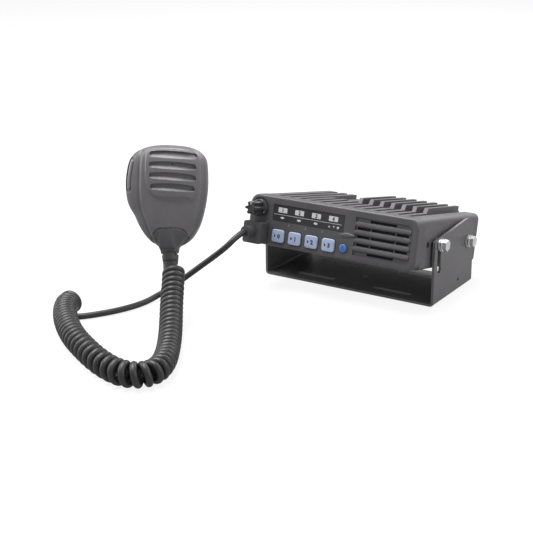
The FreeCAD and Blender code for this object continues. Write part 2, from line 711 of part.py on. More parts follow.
def ptt_shape(grow):
    """The push-to-talk bar, leaning in towards its top, or the opening round it."""
    deep = size("ptt_deep") + 2 * grow
    tall = size("ptt_tall") + 2 * grow
    thick = size("ptt_thick") + (4 if grow else 0)
    outer = -size("ptt_out") - (2 if grow else 0)
    bar = Part.makeBox(thick, deep, tall, V(outer, size("ptt_near") - grow, -tall / 2))
    if not grow:
        bar = filleted(bar, 1.6, V(1, 0, 0))
    bar.rotate(V(-size("ptt_out"), 0, 0), V(0, 1, 0), size("ptt_slant"))
    bar.translate(V(0, 0, size("ptt_level")))
    return bar


def ellipse_wire(half_width, half_depth, level):
    """An ellipse across the cord's axis at one level."""
    centre = V(size("relief_across"), 0, level)
    if half_width == half_depth:
        return Part.Wire([Part.makeCircle(half_width, centre)])
    ring = Part.Ellipse(centre + V(half_width, 0, 0), centre + V(0, half_depth, 0), centre)
    return Part.Wire([ring.toShape()])


BOOT_SECTIONS = [(12.2, 10.6, -34), (12.2, 10.6, -38.4), (10.6, 9.9, -39.6), (8.2, 8, -41.6), (7, 6.9, -43.6)]


def boot_opening():
    return Part.makeLoft([ellipse_wire(12.3, 10.7, -33), ellipse_wire(12.3, 10.7, -46)], True, True)


def mic_cover(label, outer, inner, extra_tools):
    shape = housing_loft(outer).cut(housing_loft(inner))
    for tool in [ptt_shape(0.4), boot_opening()] + extra_tools:
        shape = shape.cut(tool)
    shaped(label, MIC, shape)


MIC_SCREWS = [(-14, 26), (16, 26), (9, -28.5)]


def microphone():
    front = -size("mic_front")
    back = size("mic_back")
    wall = size("mic_shell")
    slots = [Part.makeBox(33, 2.4, 3.4, V(-9.5, front - 1, 26.4 - 8.1 * i)) for i in range(4)]
    sound_hole = Part.makeCylinder(0.8, 8, V(7.6, front - 1, 20.2), V(0, 1, 0))
    mic_cover("mic_front_cover", [(front, 4.5), (front + 4, 1.2), (-4, 0), (0, 0)],
              [(front + wall, 7), (-4, wall), (0.5, wall)], slots + [sound_hole])
    screw_holes = [Part.makeCylinder(1.2, 6, V(x, back - 4, z), V(0, 1, 0)) for x, z in MIC_SCREWS]
    mic_cover("mic_back_cover", [(0, 0), (4, 0), (back - 4, 1.5), (back, 6)],
              [(-0.5, wall), (4, wall), (back - wall, 8.5)], screw_holes)
    mic_boot()
    sub_part("mic_board", MIC, box("mic_sheet", (34, 1.6, 46), (-17, 2, -22)))
    sub_part("mic_capsule", MIC, rod("capsule", 4.8, 5, (7.6, -10, 20.2), "y"))
    sub_part("ptt_switch", MIC, box("switch_case", (5, 5, 8), (-23, -3, 8)))
    shaped("ptt_button", MIC, ptt_shape(0))
    mic_back_fittings()


def mic_boot():
    """Rubber boot that closes the housing's lower end and tapers into a slotted strain relief."""
    end = size("relief_end")
    tip = size("relief_round")
    across = size("relief_across")
    body = Part.makeLoft([ellipse_wire(*section) for section in BOOT_SECTIONS], True, True)
    neck = Part.makeCone(tip, 6.4, -42 - end, V(across, 0, end), V(0, 0, 1))
    solid = body.fuse(neck)
    for level in (-46.6, -55):
        for side in (-1, 1):
            solid = solid.cut(Part.makeBox(3, 8, 1.1, V(across - 1.5 + side * 6.1, -4, level)))
    for start in (-7.9, 4.3):
        solid = solid.cut(Part.makeBox(10, 3.6, 0.9, V(across - 5, start, -51)))
    shaped("mic_boot", MIC, solid)


def mic_back_fittings():
    screws = []
    for i, (x, z) in enumerate(MIC_SCREWS):
        head = rod(f"mic_screw_head_{i}", 2.4, 1.2, (x, "mic_back", z), "y")
        shank = rod(f"mic_screw_shank_{i}", 1.2, 4, (x, "mic_back - 4", z), "y")
        screws.append(joined(f"mic_screw_{i}", head, shank))
    sub_part("mic_screws", MIC, *screws)
    neck = rod("button_neck", "neck_round", 3, (0, "mic_back", "button_level"), "y")
    head = rod("button_head", 7, 2.4, (0, "mic_back + 3", "button_level"), "y")
    sub_part("hang_button", MIC, joined("hang_button_solid", neck, head))


def mic_hanger():
    """Steel hanger: a forked plate behind the housing, bent from a leg that is screwed down at its foot."""
    behind = size("mic_back") + 0.5
    level = size("button_level")
    sheet = size("sheet")
    plate = Part.makeBox(26, sheet, 28, V(-13, behind, level - 20))
    plate = filleted(plate, 4, V(0, 1, 0))
    slot = Part.makeBox(7, 6, 16, V(-3.5, behind - 2, level))
    seat = Part.makeCylinder(3.5, 6, V(0, behind - 2, level), V(0, 1, 0))
    fork = plate.cut(slot).cut(seat)
    fork.Placement = MIC
    half = size("hanger_leg_half")
    left = size("hanger_leg") - half
    back = size("hanger_back")
    floor_level = -size("mic_level")
    leg = Part.makeBox(2 * half, sheet, -14.2 - floor_level, V(left, back, floor_level))
    foot = Part.makeBox(2 * half, 22, sheet, V(left, back, floor_level))
    stand = leg.fuse(foot)
    for i in range(2):
        stand = stand.cut(Part.makeCylinder(1.9, 6, V(size("hanger_leg"), back + 8 + 9 * i, floor_level - 2)))
    stand.Placement = STAND
    shaped("mic_hanger", ROW, stand.fuse(fork).removeSplitter())


# ---------------------------------------------------------------- cord

COIL_ROUTE = [
    (-77.9, -161.2, 39), (-72.3, -169.4, 33), (-66.6, -178.4, 27.4), (-60.2, -187.9, 22.3), (-53, -198, 17.8),
    (-45.1, -209.1, 14), (-37.8, -220, 11), (-30.7, -231.3, 9.1), (-22.9, -244.9, 8.4), (-16.6, -260.4, 8.4),
    (-18.5, -272.5, 8.4), (-29, -279.5, 8.4), (-44.5, -276, 8.4), (-64, -268, 8.4), (-84, -257, 8.4),
    (-103, -245, 8.4), (-121, -231, 8.4), (-137, -216, 8.4), (-147.5, -203.5, 8.4), (-153.3, -194, 8.4),
    (-155, -187, 8.4),
]

LEAD_ROUTE = [
    (-65.4, -85.2, 51.8), (-66.1, -94, 50.2), (-70.5, -103, 42.8), (-80, -107.5, 34.3), (-93, -112.5, 23.4),
    (-105.5, -117, 12.8), (-114, -125.5, 5.6), (-116.8, -137, 2.8), (-116.8, -149, 2.45), (-119.5, -163, 2.4),
    (-125, -177, 2.4), (-132.5, -190, 2.4), (-140, -200, 2.4), (-147, -206, 2.4),
]


def tube(label, route, radius):
    """A round tube along straight runs joined by arcs as large as the runs allow."""
    points = [V(*point) for point in route]
    edges = []
    radii = []
    last = points[0]
    for before, corner, after in zip(points, points[1:], points[2:]):
        run_in = corner - before
        run_out = after - corner
        turn = run_in.getAngle(run_out)
        arc_radius = 0.45 * min(run_in.Length, run_out.Length) / math.tan(turn / 2)
        radii.append(arc_radius)
        reach = 0.45 * min(run_in.Length, run_out.Length)
        into = V(run_in).normalize()
        out = V(run_out).normalize()
        start = corner - into * reach
        end = corner + out * reach
        inward = (out - into).normalize()
        middle = corner + inward * (arc_radius / math.cos(turn / 2) - arc_radius)
        edges.append(Part.LineSegment(last, start).toShape())
        edges.append(Part.Arc(start, middle, end).toShape())
        last = end
    edges.append(Part.LineSegment(last, points[-1]).toShape())
    path = Part.Wire(edges)
    first = V(points[1] - points[0]).normalize()
    ring = Part.Wire([Part.makeCircle(radius, points[0], first)])
    solid = path.makePipeShell([ring], True, False)
    expected = math.pi * radius ** 2 * path.Length
    print(f"{label}: {path.Length:.1f} mm long, arcs {min(radii):.1f} to {max(radii):.1f} mm,",
          f"volume {solid.Volume / expected:.4f} of section x length")
    return solid


def cord():
    """The curly part as one fat tube, and the straight lead that runs into its last turns."""
    shaped("mic_cord_coil", ROW, tube("mic_cord_coil", COIL_ROUTE, size("coil_round")))
    shaped("mic_cord_lead", ROW, tube("mic_cord_lead", LEAD_ROUTE, size("cord_round")))


# ---------------------------------------------------------------- build

def check():
    DOC.recompute()
    for item in DOC.Objects:
        if any(word in item.State for word in ("Invalid", "Error")):
            raise RuntimeError(f"{item.Name} failed: {item.State}")
    for item in SUB_PARTS:
        if item.Shape.isNull() or not item.Shape.isValid() or not item.Shape.Solids:
            raise RuntimeError(f"{item.Label} has no valid solid")


def write():
    os.makedirs("parts", exist_ok=True)
    for item in SUB_PARTS:
        item.Shape.exportStep(f"parts/{item.Label}.step")
        print(f"{item.Label}: {len(item.Shape.Solids)} solids, {item.Shape.Volume / 1000:.2f} cm3")


for make in (front_panel, chassis, bottom_cover, cover_screws, display_window, indicator_lights, channel_lamps,
             keys, key_switches, front_board, volume_knob, volume_pot, mic_jack, cord_plug, plug_boot, speaker,
             electronics, rear_connectors, mounting_bracket, bolts, microphone, mic_hanger, cord):
    make()
check()
write()
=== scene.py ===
"""Looks of the mobile transceiver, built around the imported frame.

Metres in the row frame. Shapes are worked out in millimetres in two local frames:
radio (X across, Y back from the front face, Z up) and mic (X across, Y front to back, Z up).
"""

import math

import bmesh
import bpy
import numpy as np
from mathutils import Matrix, Vector


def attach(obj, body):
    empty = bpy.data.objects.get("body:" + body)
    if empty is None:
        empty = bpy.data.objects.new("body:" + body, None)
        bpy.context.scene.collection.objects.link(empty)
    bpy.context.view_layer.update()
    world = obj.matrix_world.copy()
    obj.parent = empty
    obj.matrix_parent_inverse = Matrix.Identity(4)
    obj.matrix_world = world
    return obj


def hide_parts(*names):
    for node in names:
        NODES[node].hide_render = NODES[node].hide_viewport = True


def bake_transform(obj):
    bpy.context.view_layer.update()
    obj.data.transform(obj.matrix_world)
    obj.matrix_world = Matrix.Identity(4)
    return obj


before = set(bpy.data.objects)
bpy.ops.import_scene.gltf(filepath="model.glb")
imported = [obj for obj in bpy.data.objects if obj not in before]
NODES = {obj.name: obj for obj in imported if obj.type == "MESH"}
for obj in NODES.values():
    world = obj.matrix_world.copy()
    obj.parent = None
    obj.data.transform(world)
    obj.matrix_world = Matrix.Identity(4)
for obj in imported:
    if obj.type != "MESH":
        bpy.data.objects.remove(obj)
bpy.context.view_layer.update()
MM = 0.001

# ---------------------------------------------------------------- frames

TILT = math.radians(-11.8)
PIVOT = Vector((0, 24.6, 37.9))
PIVOT_IN_RADIO = Vector((0, 90.1, 19.4))
RADIO_TURN = Matrix.Rotation(TILT, 3, "X")
RADIO_AT = (PIVOT - RADIO_TURN @ PIVOT_IN_RADIO) * MM
RADIO = Matrix.Translation(RADIO_AT) @ RADIO_TURN.to_4x4() @ Matrix.Scale(MM, 4)

MIC_AT = (-0.094, -0.145, 0.0935)
MIC_YAW, MIC_LEAN, MIC_ROLL = math.radians(26), math.radians(-15), math.radians(-3)
MIC_TURN = (Matrix.Rotation(MIC_YAW, 4, "Z") @ Matrix.Rotation(MIC_LEAN, 4, "X")
            @ Matrix.Rotation(MIC_ROLL, 4, "Y"))
MIC = Matrix.Translation(MIC_AT) @ MIC_TURN @ Matrix.Scale(MM, 4)
NECK_X = 0.8
TAIL_TIP = -57

# For points that are in metres in the row frame already.
ROW = Matrix.Identity(4)

# ---------------------------------------------------------------- camera

CAMERA_AT = Vector((0.4375, -0.8192, 0.3264))
AZIMUTH, ELEVATION, ROLL = math.radians(33.29), math.radians(18.87), math.radians(-0.65)
SENSOR = 36.0
LENS = 79.4


def make_camera():
    """A camera that looks along an azimuth and elevation, with a little roll."""
    run = math.cos(ELEVATION)
    ahead = Vector((-math.sin(AZIMUTH) * run, math.cos(AZIMUTH) * run, -math.sin(ELEVATION)))
    level = Vector((math.cos(AZIMUTH), math.sin(AZIMUTH), 0))
    up = level.cross(ahead)
    right = level * math.cos(ROLL) + up * math.sin(ROLL)
    above = up * math.cos(ROLL) - level * math.sin(ROLL)
    data = bpy.data.cameras.new("camera")
    data.lens = LENS
    data.sensor_width = SENSOR
    data.clip_start = 0.01
    camera = bpy.data.objects.new("camera", data)
    facing = Matrix((right, above, -ahead)).transposed().to_4x4()
    camera.matrix_world = Matrix.Translation(CAMERA_AT) @ facing
    bpy.context.scene.collection.objects.link(camera)
    bpy.context.scene.camera = camera


make_camera()

# ---------------------------------------------------------------- materials


def shader(name, color, rough, metal=0.0, **inputs):
    """A Principled material, with the node tree and the shader to build on."""
    material = bpy.data.materials.new(name)
    material.use_nodes = True
    bsdf = material.node_tree.nodes["Principled BSDF"]
    bsdf.inputs["Base Color"].default_value = (*color, 1)
    bsdf.inputs["Roughness"].default_value = rough
    bsdf.inputs["Metallic"].default_value = metal
    for key, value in inputs.items():
        bsdf.inputs[key.replace("_", " ")].default_value = value
    return material, material.node_tree, bsdf


def grain(tree, scale, detail=3.0, distortion=0.0):
    """Noise over the object's own coordinates, scaled per metre."""
    coords = tree.nodes.new("ShaderNodeTexCoord")
    noise = tree.nodes.new("ShaderNodeTexNoise")
    noise.inputs["Scale"].default_value = scale
    noise.inputs["Detail"].default_value = detail
    noise.inputs["Distortion"].default_value = distortion
    tree.links.new(coords.outputs["Object"], noise.inputs["Vector"])
    return noise


def ramp(tree, source, stops):
    """Colours spread over a value between 0 and 1."""
    node = tree.nodes.new("ShaderNodeValToRGB")
    tree.links.new(source, node.inputs["Fac"])
    elements = node.color_ramp.elements
    while len(elements) < len(stops):
        elements.new(0.5)
    for element, (position, color) in zip(elements, stops):
        element.position = position
        element.color = (*color, 1)
    return node


def gray(value):
    return (value, value, value)


def bumped(tree, bsdf, source, strength, distance):
    """Fine relief from a texture, with its height in metres."""
    bump = tree.nodes.new("ShaderNodeBump")
    bump.inputs["Strength"].default_value = strength
    bump.inputs["Distance"].default_value = distance
    tree.links.new(source, bump.inputs["Height"])
    tree.links.new(bump.outputs["Normal"], bsdf.inputs["Normal"])


def moulded(name, color, rough, fine=2600, bump=0.00006, spread=0.12, **inputs):
    """Moulded or painted surface: fine texture, with slow changes in tone and gloss."""
    material, tree, bsdf = shader(name, color, rough, **inputs)
    slow = grain(tree, 45)
    low = [part * (1 - spread) for part in color]
    high = [part * (1 + spread) for part in color]
    tone = ramp(tree, slow.outputs["Fac"], [(0.3, low), (0.7, high)])
    tree.links.new(tone.outputs["Color"], bsdf.inputs["Base Color"])
    gloss = ramp(tree, slow.outputs["Fac"], [(0.25, gray(rough - 0.05)), (0.75, gray(rough + 0.05))])
    tree.links.new(gloss.outputs["Color"], bsdf.inputs["Roughness"])
    texture = grain(tree, fine, 2)
    bumped(tree, bsdf, texture.outputs["Fac"], 0.5, bump)
    return material


def brushed(name, color, rough, bump=0.00002):
    """Metal with faint streaks."""
    material, tree, bsdf = shader(name, color, rough, 1.0)
    streak = grain(tree, 900, 2, 0.4)
    tone = ramp(tree, streak.outputs["Fac"], [(0.3, [0.8 * part for part in color]), (0.7, color)])
    tree.links.new(tone.outputs["Color"], bsdf.inputs["Base Color"])
    bumped(tree, bsdf, streak.outputs["Fac"], 0.4, bump)
    return material


MATERIALS = {
    "panel": moulded("panel_plastic", (0.086, 0.082, 0.087), 0.38),
    "window": moulded("window_smoke", (0.040, 0.039, 0.043), 0.25, bump=0.000005),
    "print_white": moulded("legend_white", (0.62, 0.62, 0.62), 0.45, bump=0.00001, spread=0.03),
    "print_dark": moulded("legend_dark", (0.03, 0.03, 0.033), 0.5, bump=0.00001),
    "gray_mark": moulded("gray_mark_tone", (0.42, 0.42, 0.43), 0.5, bump=0.00001),
    "print_line": moulded("legend_line", (0.45, 0.45, 0.45), 0.5, bump=0.00001),
    "power_ink": moulded("power_ink", (0.03, 0.07, 0.25), 0.4, bump=0.00001),
    "light_pipe": moulded("light_pipe", (0.55, 0.56, 0.56), 0.35, bump=0.00001),
    "key": moulded("key_rubber", (0.38, 0.45, 0.62), 0.38, bump=0.00003, spread=0.05,
                   Subsurface_Weight=0.15, Subsurface_Scale=0.003),
    "key_ink": moulded("key_ink", (0.035, 0.04, 0.06), 0.5, bump=0.00001),
    "power": moulded("power_blue", (0.080, 0.18, 0.44), 0.3, bump=0.00001, spread=0.06),
    "knob": moulded("knob_black", (0.046, 0.044, 0.047), 0.28, bump=0.00002),
    # Near-black for the small black parts. It is also the painted shade in the gaps round the keys and the
    # power key, and in the sound hole.
    "part": moulded("part_black", (0.02, 0.02, 0.021), 0.45),
    "rubber": moulded("boot_rubber", (0.096, 0.092, 0.097), 0.48, 1800, 0.00008),
    "boot": moulded("plug_rubber", (0.064, 0.061, 0.065), 0.5, 1800, 0.00008),
    "board": moulded("board_green", (0.02, 0.09, 0.045), 0.4),
    "steel": brushed("switch_metal", (0.55, 0.55, 0.54), 0.35),
    "felt": moulded("felt_black", (0.012, 0.012, 0.013), 0.9, 3500, 0.0002),
    "ferrite": moulded("ferrite", (0.05, 0.05, 0.052), 0.6),
    "nickel": brushed("nickel", (0.62, 0.6, 0.55), 0.25),
    "ivory": moulded("insulator", (0.75, 0.72, 0.62), 0.4, spread=0.04),
    "chassis": moulded("chassis_paint", (0.115, 0.110, 0.116), 0.42, 1500, 0.00009),
    "cover": moulded("cover_paint", (0.04, 0.039, 0.041), 0.42, 1500, 0.00006),
    "screw": brushed("screw_black", (0.06, 0.06, 0.062), 0.4),
    "chrome": brushed("bolt_chrome", (0.97, 0.97, 0.98), 0.36, 0.00001),
    "bracket": moulded("bracket_paint", (0.130, 0.124, 0.130), 0.36, 1700, 0.00005),
    "zinc": brushed("zinc", (0.5, 0.5, 0.52), 0.35),
    "mic": moulded("mic_plastic", (0.150, 0.144, 0.151), 0.38, 1500, 0.00009),
    # Painted highlight: the push-to-talk bar gets a lighter plastic than the housing to stand in for the
    # sheen along its rounded top.
    "ptt": moulded("ptt_plastic", (0.195, 0.188, 0.197), 0.34, 1500, 0.00005),
    "cord": moulded("cord_jacket", (0.032, 0.030, 0.032), 0.42, 1200, 0.00004),
    "plug": moulded("plug_plastic", (0.3, 0.3, 0.3), 0.2),
}

NODE_LOOKS = {
    "front_panel": "panel", "display_window": "window", "indicator_lights": "light_pipe",
    "channel_lamps": "print_white", "power_key": "power", "knob_shaft": "steel", "volume_knob": "knob",
    "key_switches": "steel", "front_board": "board", "main_board": "board", "mic_board": "board",
    "volume_control": "part", "mic_jack": "part", "power_amplifier": "part", "power_inlet": "part",
    "speaker_socket": "part", "ptt_switch": "part", "cord_plug": "plug", "plug_boot": "boot",
    "mic_boot": "rubber", "speaker_frame": "steel", "speaker_cone": "felt", "speaker_magnet": "ferrite",
    "grille_felt": "felt", "shield_can": "steel", "antenna_socket": "nickel", "antenna_insulator": "ivory",
    "chassis": "chassis", "bottom_cover": "cover", "cover_screws": "screw", "mic_screws": "screw",
    "front_bolts": "chrome", "rear_bolts": "chrome", "flat_washers": "chrome", "spring_washers": "steel",
    "mounting_bracket": "bracket", "mic_hanger": "zinc", "mic_front_cover": "mic", "mic_back_cover": "mic",
    "mic_capsule": "steel", "ptt_button": "ptt", "hang_button": "chrome",
    "mic_cord_coil": "cord", "mic_cord_lead": "cord",
    "function_key_0": "key", "function_key_1": "key", "function_key_2": "key", "function_key_3": "key",
}

for node, look in NODE_LOOKS.items():
    NODES[node].data.materials.clear()
    NODES[node].data.materials.append(MATERIALS[look])

EDGE_ROUNDING = {
    "front_panel": 0.35, "chassis": 0.45, "mounting_bracket": 0.3, "bottom_cover": 0.3, "mic_hanger": 0.3,
    "antenna_socket": 0.25, "power_inlet": 0.4, "hang_button": 0.4, "cover_screws": 0.2, "mic_screws": 0.2,
}

for node, width in EDGE_ROUNDING.items():
    bevel = NODES[node].modifiers.new("edges", "BEVEL")
    bevel.width = width * MM
    bevel.segments = 3
    bevel.limit_method = "ANGLE"
    bevel.angle_limit = math.radians(35)

# ---------------------------------------------------------------- mesh helpers

SAME_PLACE = 1e-7


def solid(name, vertices, faces, look, body, slot, matrix, smooth=True, sharp=38):
    """A mesh piece that rides on a body. The matrix brings its points into the row frame."""
    mesh = bpy.data.meshes.new(name)
    mesh.from_pydata([tuple(v) for v in vertices], [], [tuple(int(i) for i in f) for f in faces])
    mesh.transform(matrix)
    edit = bmesh.new()
    edit.from_mesh(mesh)
    bmesh.ops.remove_doubles(edit, verts=edit.verts, dist=SAME_PLACE)
    bmesh.ops.recalc_face_normals(edit, faces=edit.faces)
    edit.to_mesh(mesh)
    edit.free()
    mesh.materials.append(MATERIALS[look])
    if smooth:
        mesh.shade_smooth()
        mesh.set_sharp_from_angle(angle=math.radians(sharp))
    piece = bpy.data.objects.new(name, mesh)
    bpy.context.scene.collection.objects.link(piece)
    if body:
        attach(piece, body)
    return piece


def rings(count_rings, count_around, closed_ends=True):
    """Faces of a lathe or a tube: rings of vertices, with caps."""
    faces = []
    for i in range(count_rings - 1):
        for j in range(count_around):
            k = (j + 1) % count_around
            faces.append((i * count_around + j, i * count_around + k, (i + 1) * count_around + k,
                          (i + 1) * count_around + j))
    if closed_ends:
        faces.append(tuple(range(count_around)))
        last = (count_rings - 1) * count_around
        faces.append(tuple(range(last, last + count_around)))
    return faces


def directions(points):
    """The direction of a line at each of its points."""
    ahead = np.gradient(points, axis=0)
    return ahead / np.linalg.norm(ahead, axis=1)[:, None]


def sides_along(ahead, start):
    """Two directions square to a line at each of its points. They follow it without twist."""
    side = np.cross(ahead[0], start)
    side /= np.linalg.norm(side)
    sides = []
    for onward in ahead:
        side = side - onward * side.dot(onward)
        side /= np.linalg.norm(side)
        sides.append(side)
    sides = np.array(sides)
    return sides, np.cross(ahead, sides)


def tube_mesh(points, radius, around):
    """Vertices and faces of a round tube along points."""
    sides, others = sides_along(directions(points), (0.3, 0.2, 1.0))
    angles = np.linspace(0, math.tau, around, endpoint=False)
    vertices = []
    for point, side, other in zip(points, sides, others):
        vertices.extend(point + radius * (np.outer(np.cos(angles), side) + np.outer(np.sin(angles), other)))
    return vertices, rings(len(points), around)


def evaluated_mesh(name, data):
    """The mesh that a curve or a text makes. The curve is removed."""
    carrier = bpy.data.objects.new(name, data)
    bpy.context.scene.collection.objects.link(carrier)
    mesh = bpy.data.meshes.new_from_object(carrier.evaluated_get(bpy.context.evaluated_depsgraph_get()))
    bpy.data.objects.remove(carrier)
    bpy.data.curves.remove(data)
    return mesh


def nurbs_points(route):
    """Points along the smooth NURBS line whose control points are the route, in metres."""
    data = bpy.data.curves.new("route", "CURVE")
    data.dimensions = "3D"
    spline = data.splines.new("NURBS")
    spline.points.add(len(route) - 1)
    for point, place in zip(spline.points, route):
        point.co = (*place, 1)
    spline.order_u = 3
    spline.use_endpoint_u = True
    spline.resolution_u = 24
    line = evaluated_mesh("route", data)
    points = np.array([v.co[:] for v in line.vertices])
    bpy.data.meshes.remove(line)
    return points


def evenly(points, count):
    """The same line with its points evenly spaced, and its length."""
    steps = np.linalg.norm(np.diff(points, axis=0), axis=1)
    reach = np.concatenate([[0], np.cumsum(steps)])
    wanted = np.linspace(0, reach[-1], count)
    return np.stack([np.interp(wanted, reach, points[:, i]) for i in range(3)], axis=1), reach[-1]


# ---------------------------------------------------------------- cords

CORD_RADIUS = 0.0024
COIL_WIRE = 0.0026
TIGHT_PITCH = 0.00508
OPENING, OPEN_AT, OPEN_SPREAD = 0.0030, 0.58, 0.14
HANGING_RADIUS, LYING_EXTRA = 0.0060, 0.0006
FIRST_TURN = 0.25
LAST_TURNS, LAST_RADIUS = 0.6, 0.3
LINE_POINTS = 1600
POINTS_A_TURN = 26
LEAD_POINTS = 220
RUN_IN_POINTS, RUN_IN_PULL = 14, 0.009

COIL_ROUTE = [
    (-0.0779, -0.1612, 0.039), (-0.0723, -0.1694, 0.033), (-0.0666, -0.1784, 0.0274),
    (-0.0602, -0.1879, 0.0223), (-0.053, -0.198, 0.0178), (-0.0451, -0.2091, 0.0142),
    (-0.0378, -0.22, 0.0115), (-0.0307, -0.2313, 0.0099), (-0.0229, -0.2449, 0.0093),
    (-0.0175, -0.2595, 0.0093), (-0.0195, -0.2705, 0.0093), (-0.031, -0.2765, 0.0093),
    (-0.0455, -0.2745, 0.0093), (-0.064, -0.2675, 0.0093), (-0.084, -0.257, 0.0093),
    (-0.103, -0.246, 0.0093), (-0.122, -0.232, 0.0093), (-0.1385, -0.217, 0.0093),
    (-0.1495, -0.2045, 0.0093), (-0.1555, -0.195, 0.0093), (-0.1555, -0.1875, 0.0093),
]

LEAD_ROUTE = [
    (-0.0654, -0.0852, 0.0518), (-0.0661, -0.094, 0.0502), (-0.0705, -0.103, 0.0428),
    (-0.08, -0.1075, 0.0343), (-0.093, -0.1125, 0.0234), (-0.1055, -0.117, 0.0128),
    (-0.114, -0.1255, 0.0056), (-0.1168, -0.137, 0.0028), (-0.1168, -0.149, 0.00245),
    (-0.1195, -0.163, 0.0024), (-0.125, -0.177, 0.0024), (-0.1325, -0.19, 0.0024),
    (-0.14, -0.2, 0.0024), (-0.147, -0.206, 0.0024),
]


def coil_pitch(share):
    """Turns touch near the microphone and at the far end, and open where the coil bends in front."""
    base = TIGHT_PITCH + 0.00005 * np.sin(share * 37) + 0.00004 * np.sin(share * 83 + 1)
    return base + OPENING * np.exp(-((share - OPEN_AT) / OPEN_SPREAD) ** 2)


def coil_radius(share):
    """The loop that lies on the surface is a little wider than the part that hangs."""
    return HANGING_RADIUS + LYING_EXTRA * np.clip((share - 0.3) / 0.15, 0, 1)


def helix_along(route):
    """Points of the coil's turns round a line. The last part of a turn narrows."""
    line, length = evenly(nurbs_points(route), LINE_POINTS)
    share = np.linspace(0, 1, LINE_POINTS)
    turned = np.cumsum(length / (LINE_POINTS - 1) / coil_pitch(share[1:]))
    turns = FIRST_TURN + np.concatenate([[0], turned])
    sides, others = sides_along(directions(line), (0, 0, 1.0))
    at = np.linspace(turns[0], turns[-1], int((turns[-1] - turns[0]) * POINTS_A_TURN))
    place = np.interp(at, turns, share)
    last = np.clip((at[-1] - at) / LAST_TURNS, 0, 1)
    radius = coil_radius(place) * (LAST_RADIUS + (1 - LAST_RADIUS) * np.sin(last * math.pi / 2))

    def picked(table):
        return np.stack([np.interp(place, share, table[:, i]) for i in range(3)], axis=1)

    across = np.cos(math.tau * at)[:, None] * picked(sides) + np.sin(math.tau * at)[:, None] * picked(others)
    return picked(line) + radius[:, None] * across


def run_in(start, ahead, end, onward):
    """A smooth run of cord between two ends with given directions."""
    t = np.linspace(0, 1, RUN_IN_POINTS)[:, None]
    near, far = 2 * t ** 3 - 3 * t ** 2 + 1, -2 * t ** 3 + 3 * t ** 2
    pulls = (t ** 3 - 2 * t ** 2 + t) * ahead, (t ** 3 - t ** 2) * onward
    return near * start + RUN_IN_PULL * pulls[0] + far * end + RUN_IN_PULL * pulls[1]


RELIEF_TIP = np.array(MIC @ Vector((NECK_X, 0, TAIL_TIP)))
MIC_DOWN = -np.array(MIC_TURN.col[2][:3])

coil_points = helix_along(COIL_ROUTE)
onward = coil_points[1] - coil_points[0]
onward /= np.linalg.norm(onward)
coil_start = run_in(RELIEF_TIP - 0.001 * MIC_DOWN, MIC_DOWN, coil_points[0], onward)
coil_points = np.vstack([coil_start[:-1], coil_points])
coil = solid("cord_coil", *tube_mesh(coil_points, COIL_WIRE, 14), "cord", None, "cord_black", ROW, sharp=80)
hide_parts("mic_cord_coil")
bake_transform(coil)

lead_points, _ = evenly(nurbs_points(LEAD_ROUTE), LEAD_POINTS)
lead_head = lead_points[0] + np.outer(np.linspace(0.004, 0.0006, 4), (0, math.cos(TILT), math.sin(TILT)))
lead_points = np.vstack([lead_head, lead_points])
lead = solid("cord_lead", *tube_mesh(lead_points, CORD_RADIUS, 16), "cord", None, "cord_black", ROW, sharp=80)
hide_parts("mic_cord_lead")
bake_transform(lead)

# ---------------------------------------------------------------- microphone housing

OUTLINE = [(18.8, -34.0), (24.3, -24.9), (28.3, -12.2), (30.8, 1.8), (31.3, 14.5), (30.6, 23.2),
           (27.9, 28.2), (23.0, 31.8), (15.3, 34.3), (1.7, 35.8), (-8.1, 35.7), (-14.7, 34.4),
           (-21.3, 31.8), (-25.4, 28.2), (-28.3, 22.8), (-30.4, 13.3), (-30.9, 3.7), (-30.2, -4.1),
           (-28.4, -9.9), (-24.8, -16.5), (-21.5, -24.3), (-17.2, -31.5), (-12.6, -36.6), (-9.3, -38.6),
           (-6.9, -40.9), (-5.8, -44.0), (-5.0, -46.0), (NECK_X, -46.6), (6.6, -46.0), (7.4, -43.0),
           (9.0, -40.8), (13.6, -38.5)]
MIDDLE = np.array((0.2, 0.0))
FRONT_DEPTH, FRONT_ROUNDING = 12.2, 3.1
BACK_DEPTH, BACK_ROUNDING = 15.8, 3.4
LOOP_STEPS, LINE_STEPS = 14, 12


def catmull(a, b, c, d, steps):
    """Points between b and c on the Catmull-Rom line through all four."""
    square = 2 * a - 5 * b + 4 * c - d
    cube = 3 * b - a - 3 * c + d
    return [0.5 * (2 * b + (c - a) * t + square * t * t + cube * t ** 3)
            for t in np.linspace(0, 1, steps, endpoint=False)]


def smooth_loop(points):
    """A closed smooth line through points."""
    p = np.asarray(points, float)
    count = len(p)
    result = []
    for i in range(count):
        result.extend(catmull(p[i - 1], p[i], p[(i + 1) % count], p[(i + 2) % count], LOOP_STEPS))
    return np.array(result)


def smooth_line(points):
    """An open smooth line through points."""
    p = np.asarray(points, float)
    p = np.vstack([2 * p[0] - p[1], p, 2 * p[-1] - p[-2]])
    result = []
    for a, b, c, d in zip(p, p[1:], p[2:], p[3:]):
        result.extend(catmull(a, b, c, d, LINE_STEPS))
    result.append(p[-2])
    return np.array(result)


def reach_of(angles):
    """Distance from the middle to the outline at each angle."""
    loop = smooth_loop(OUTLINE) - MIDDLE
    angle = np.arctan2(loop[:, 1], loop[:, 0])
    order = np.argsort(angle)
    return np.interp(angles, angle[order], np.hypot(loop[:, 0], loop[:, 1])[order], period=math.tau)


def line_distance(points, line):
    """Distance from points to a line of straight pieces."""
    nearest = np.full(len(points), np.inf)
    for a, b in zip(line, line[1:]):
        run = b - a
        t = np.clip((points - a) @ run / (run @ run), 0, 1)
        nearest = np.minimum(nearest, np.linalg.norm(points - a - t[:, None] * run, axis=1))
    return nearest


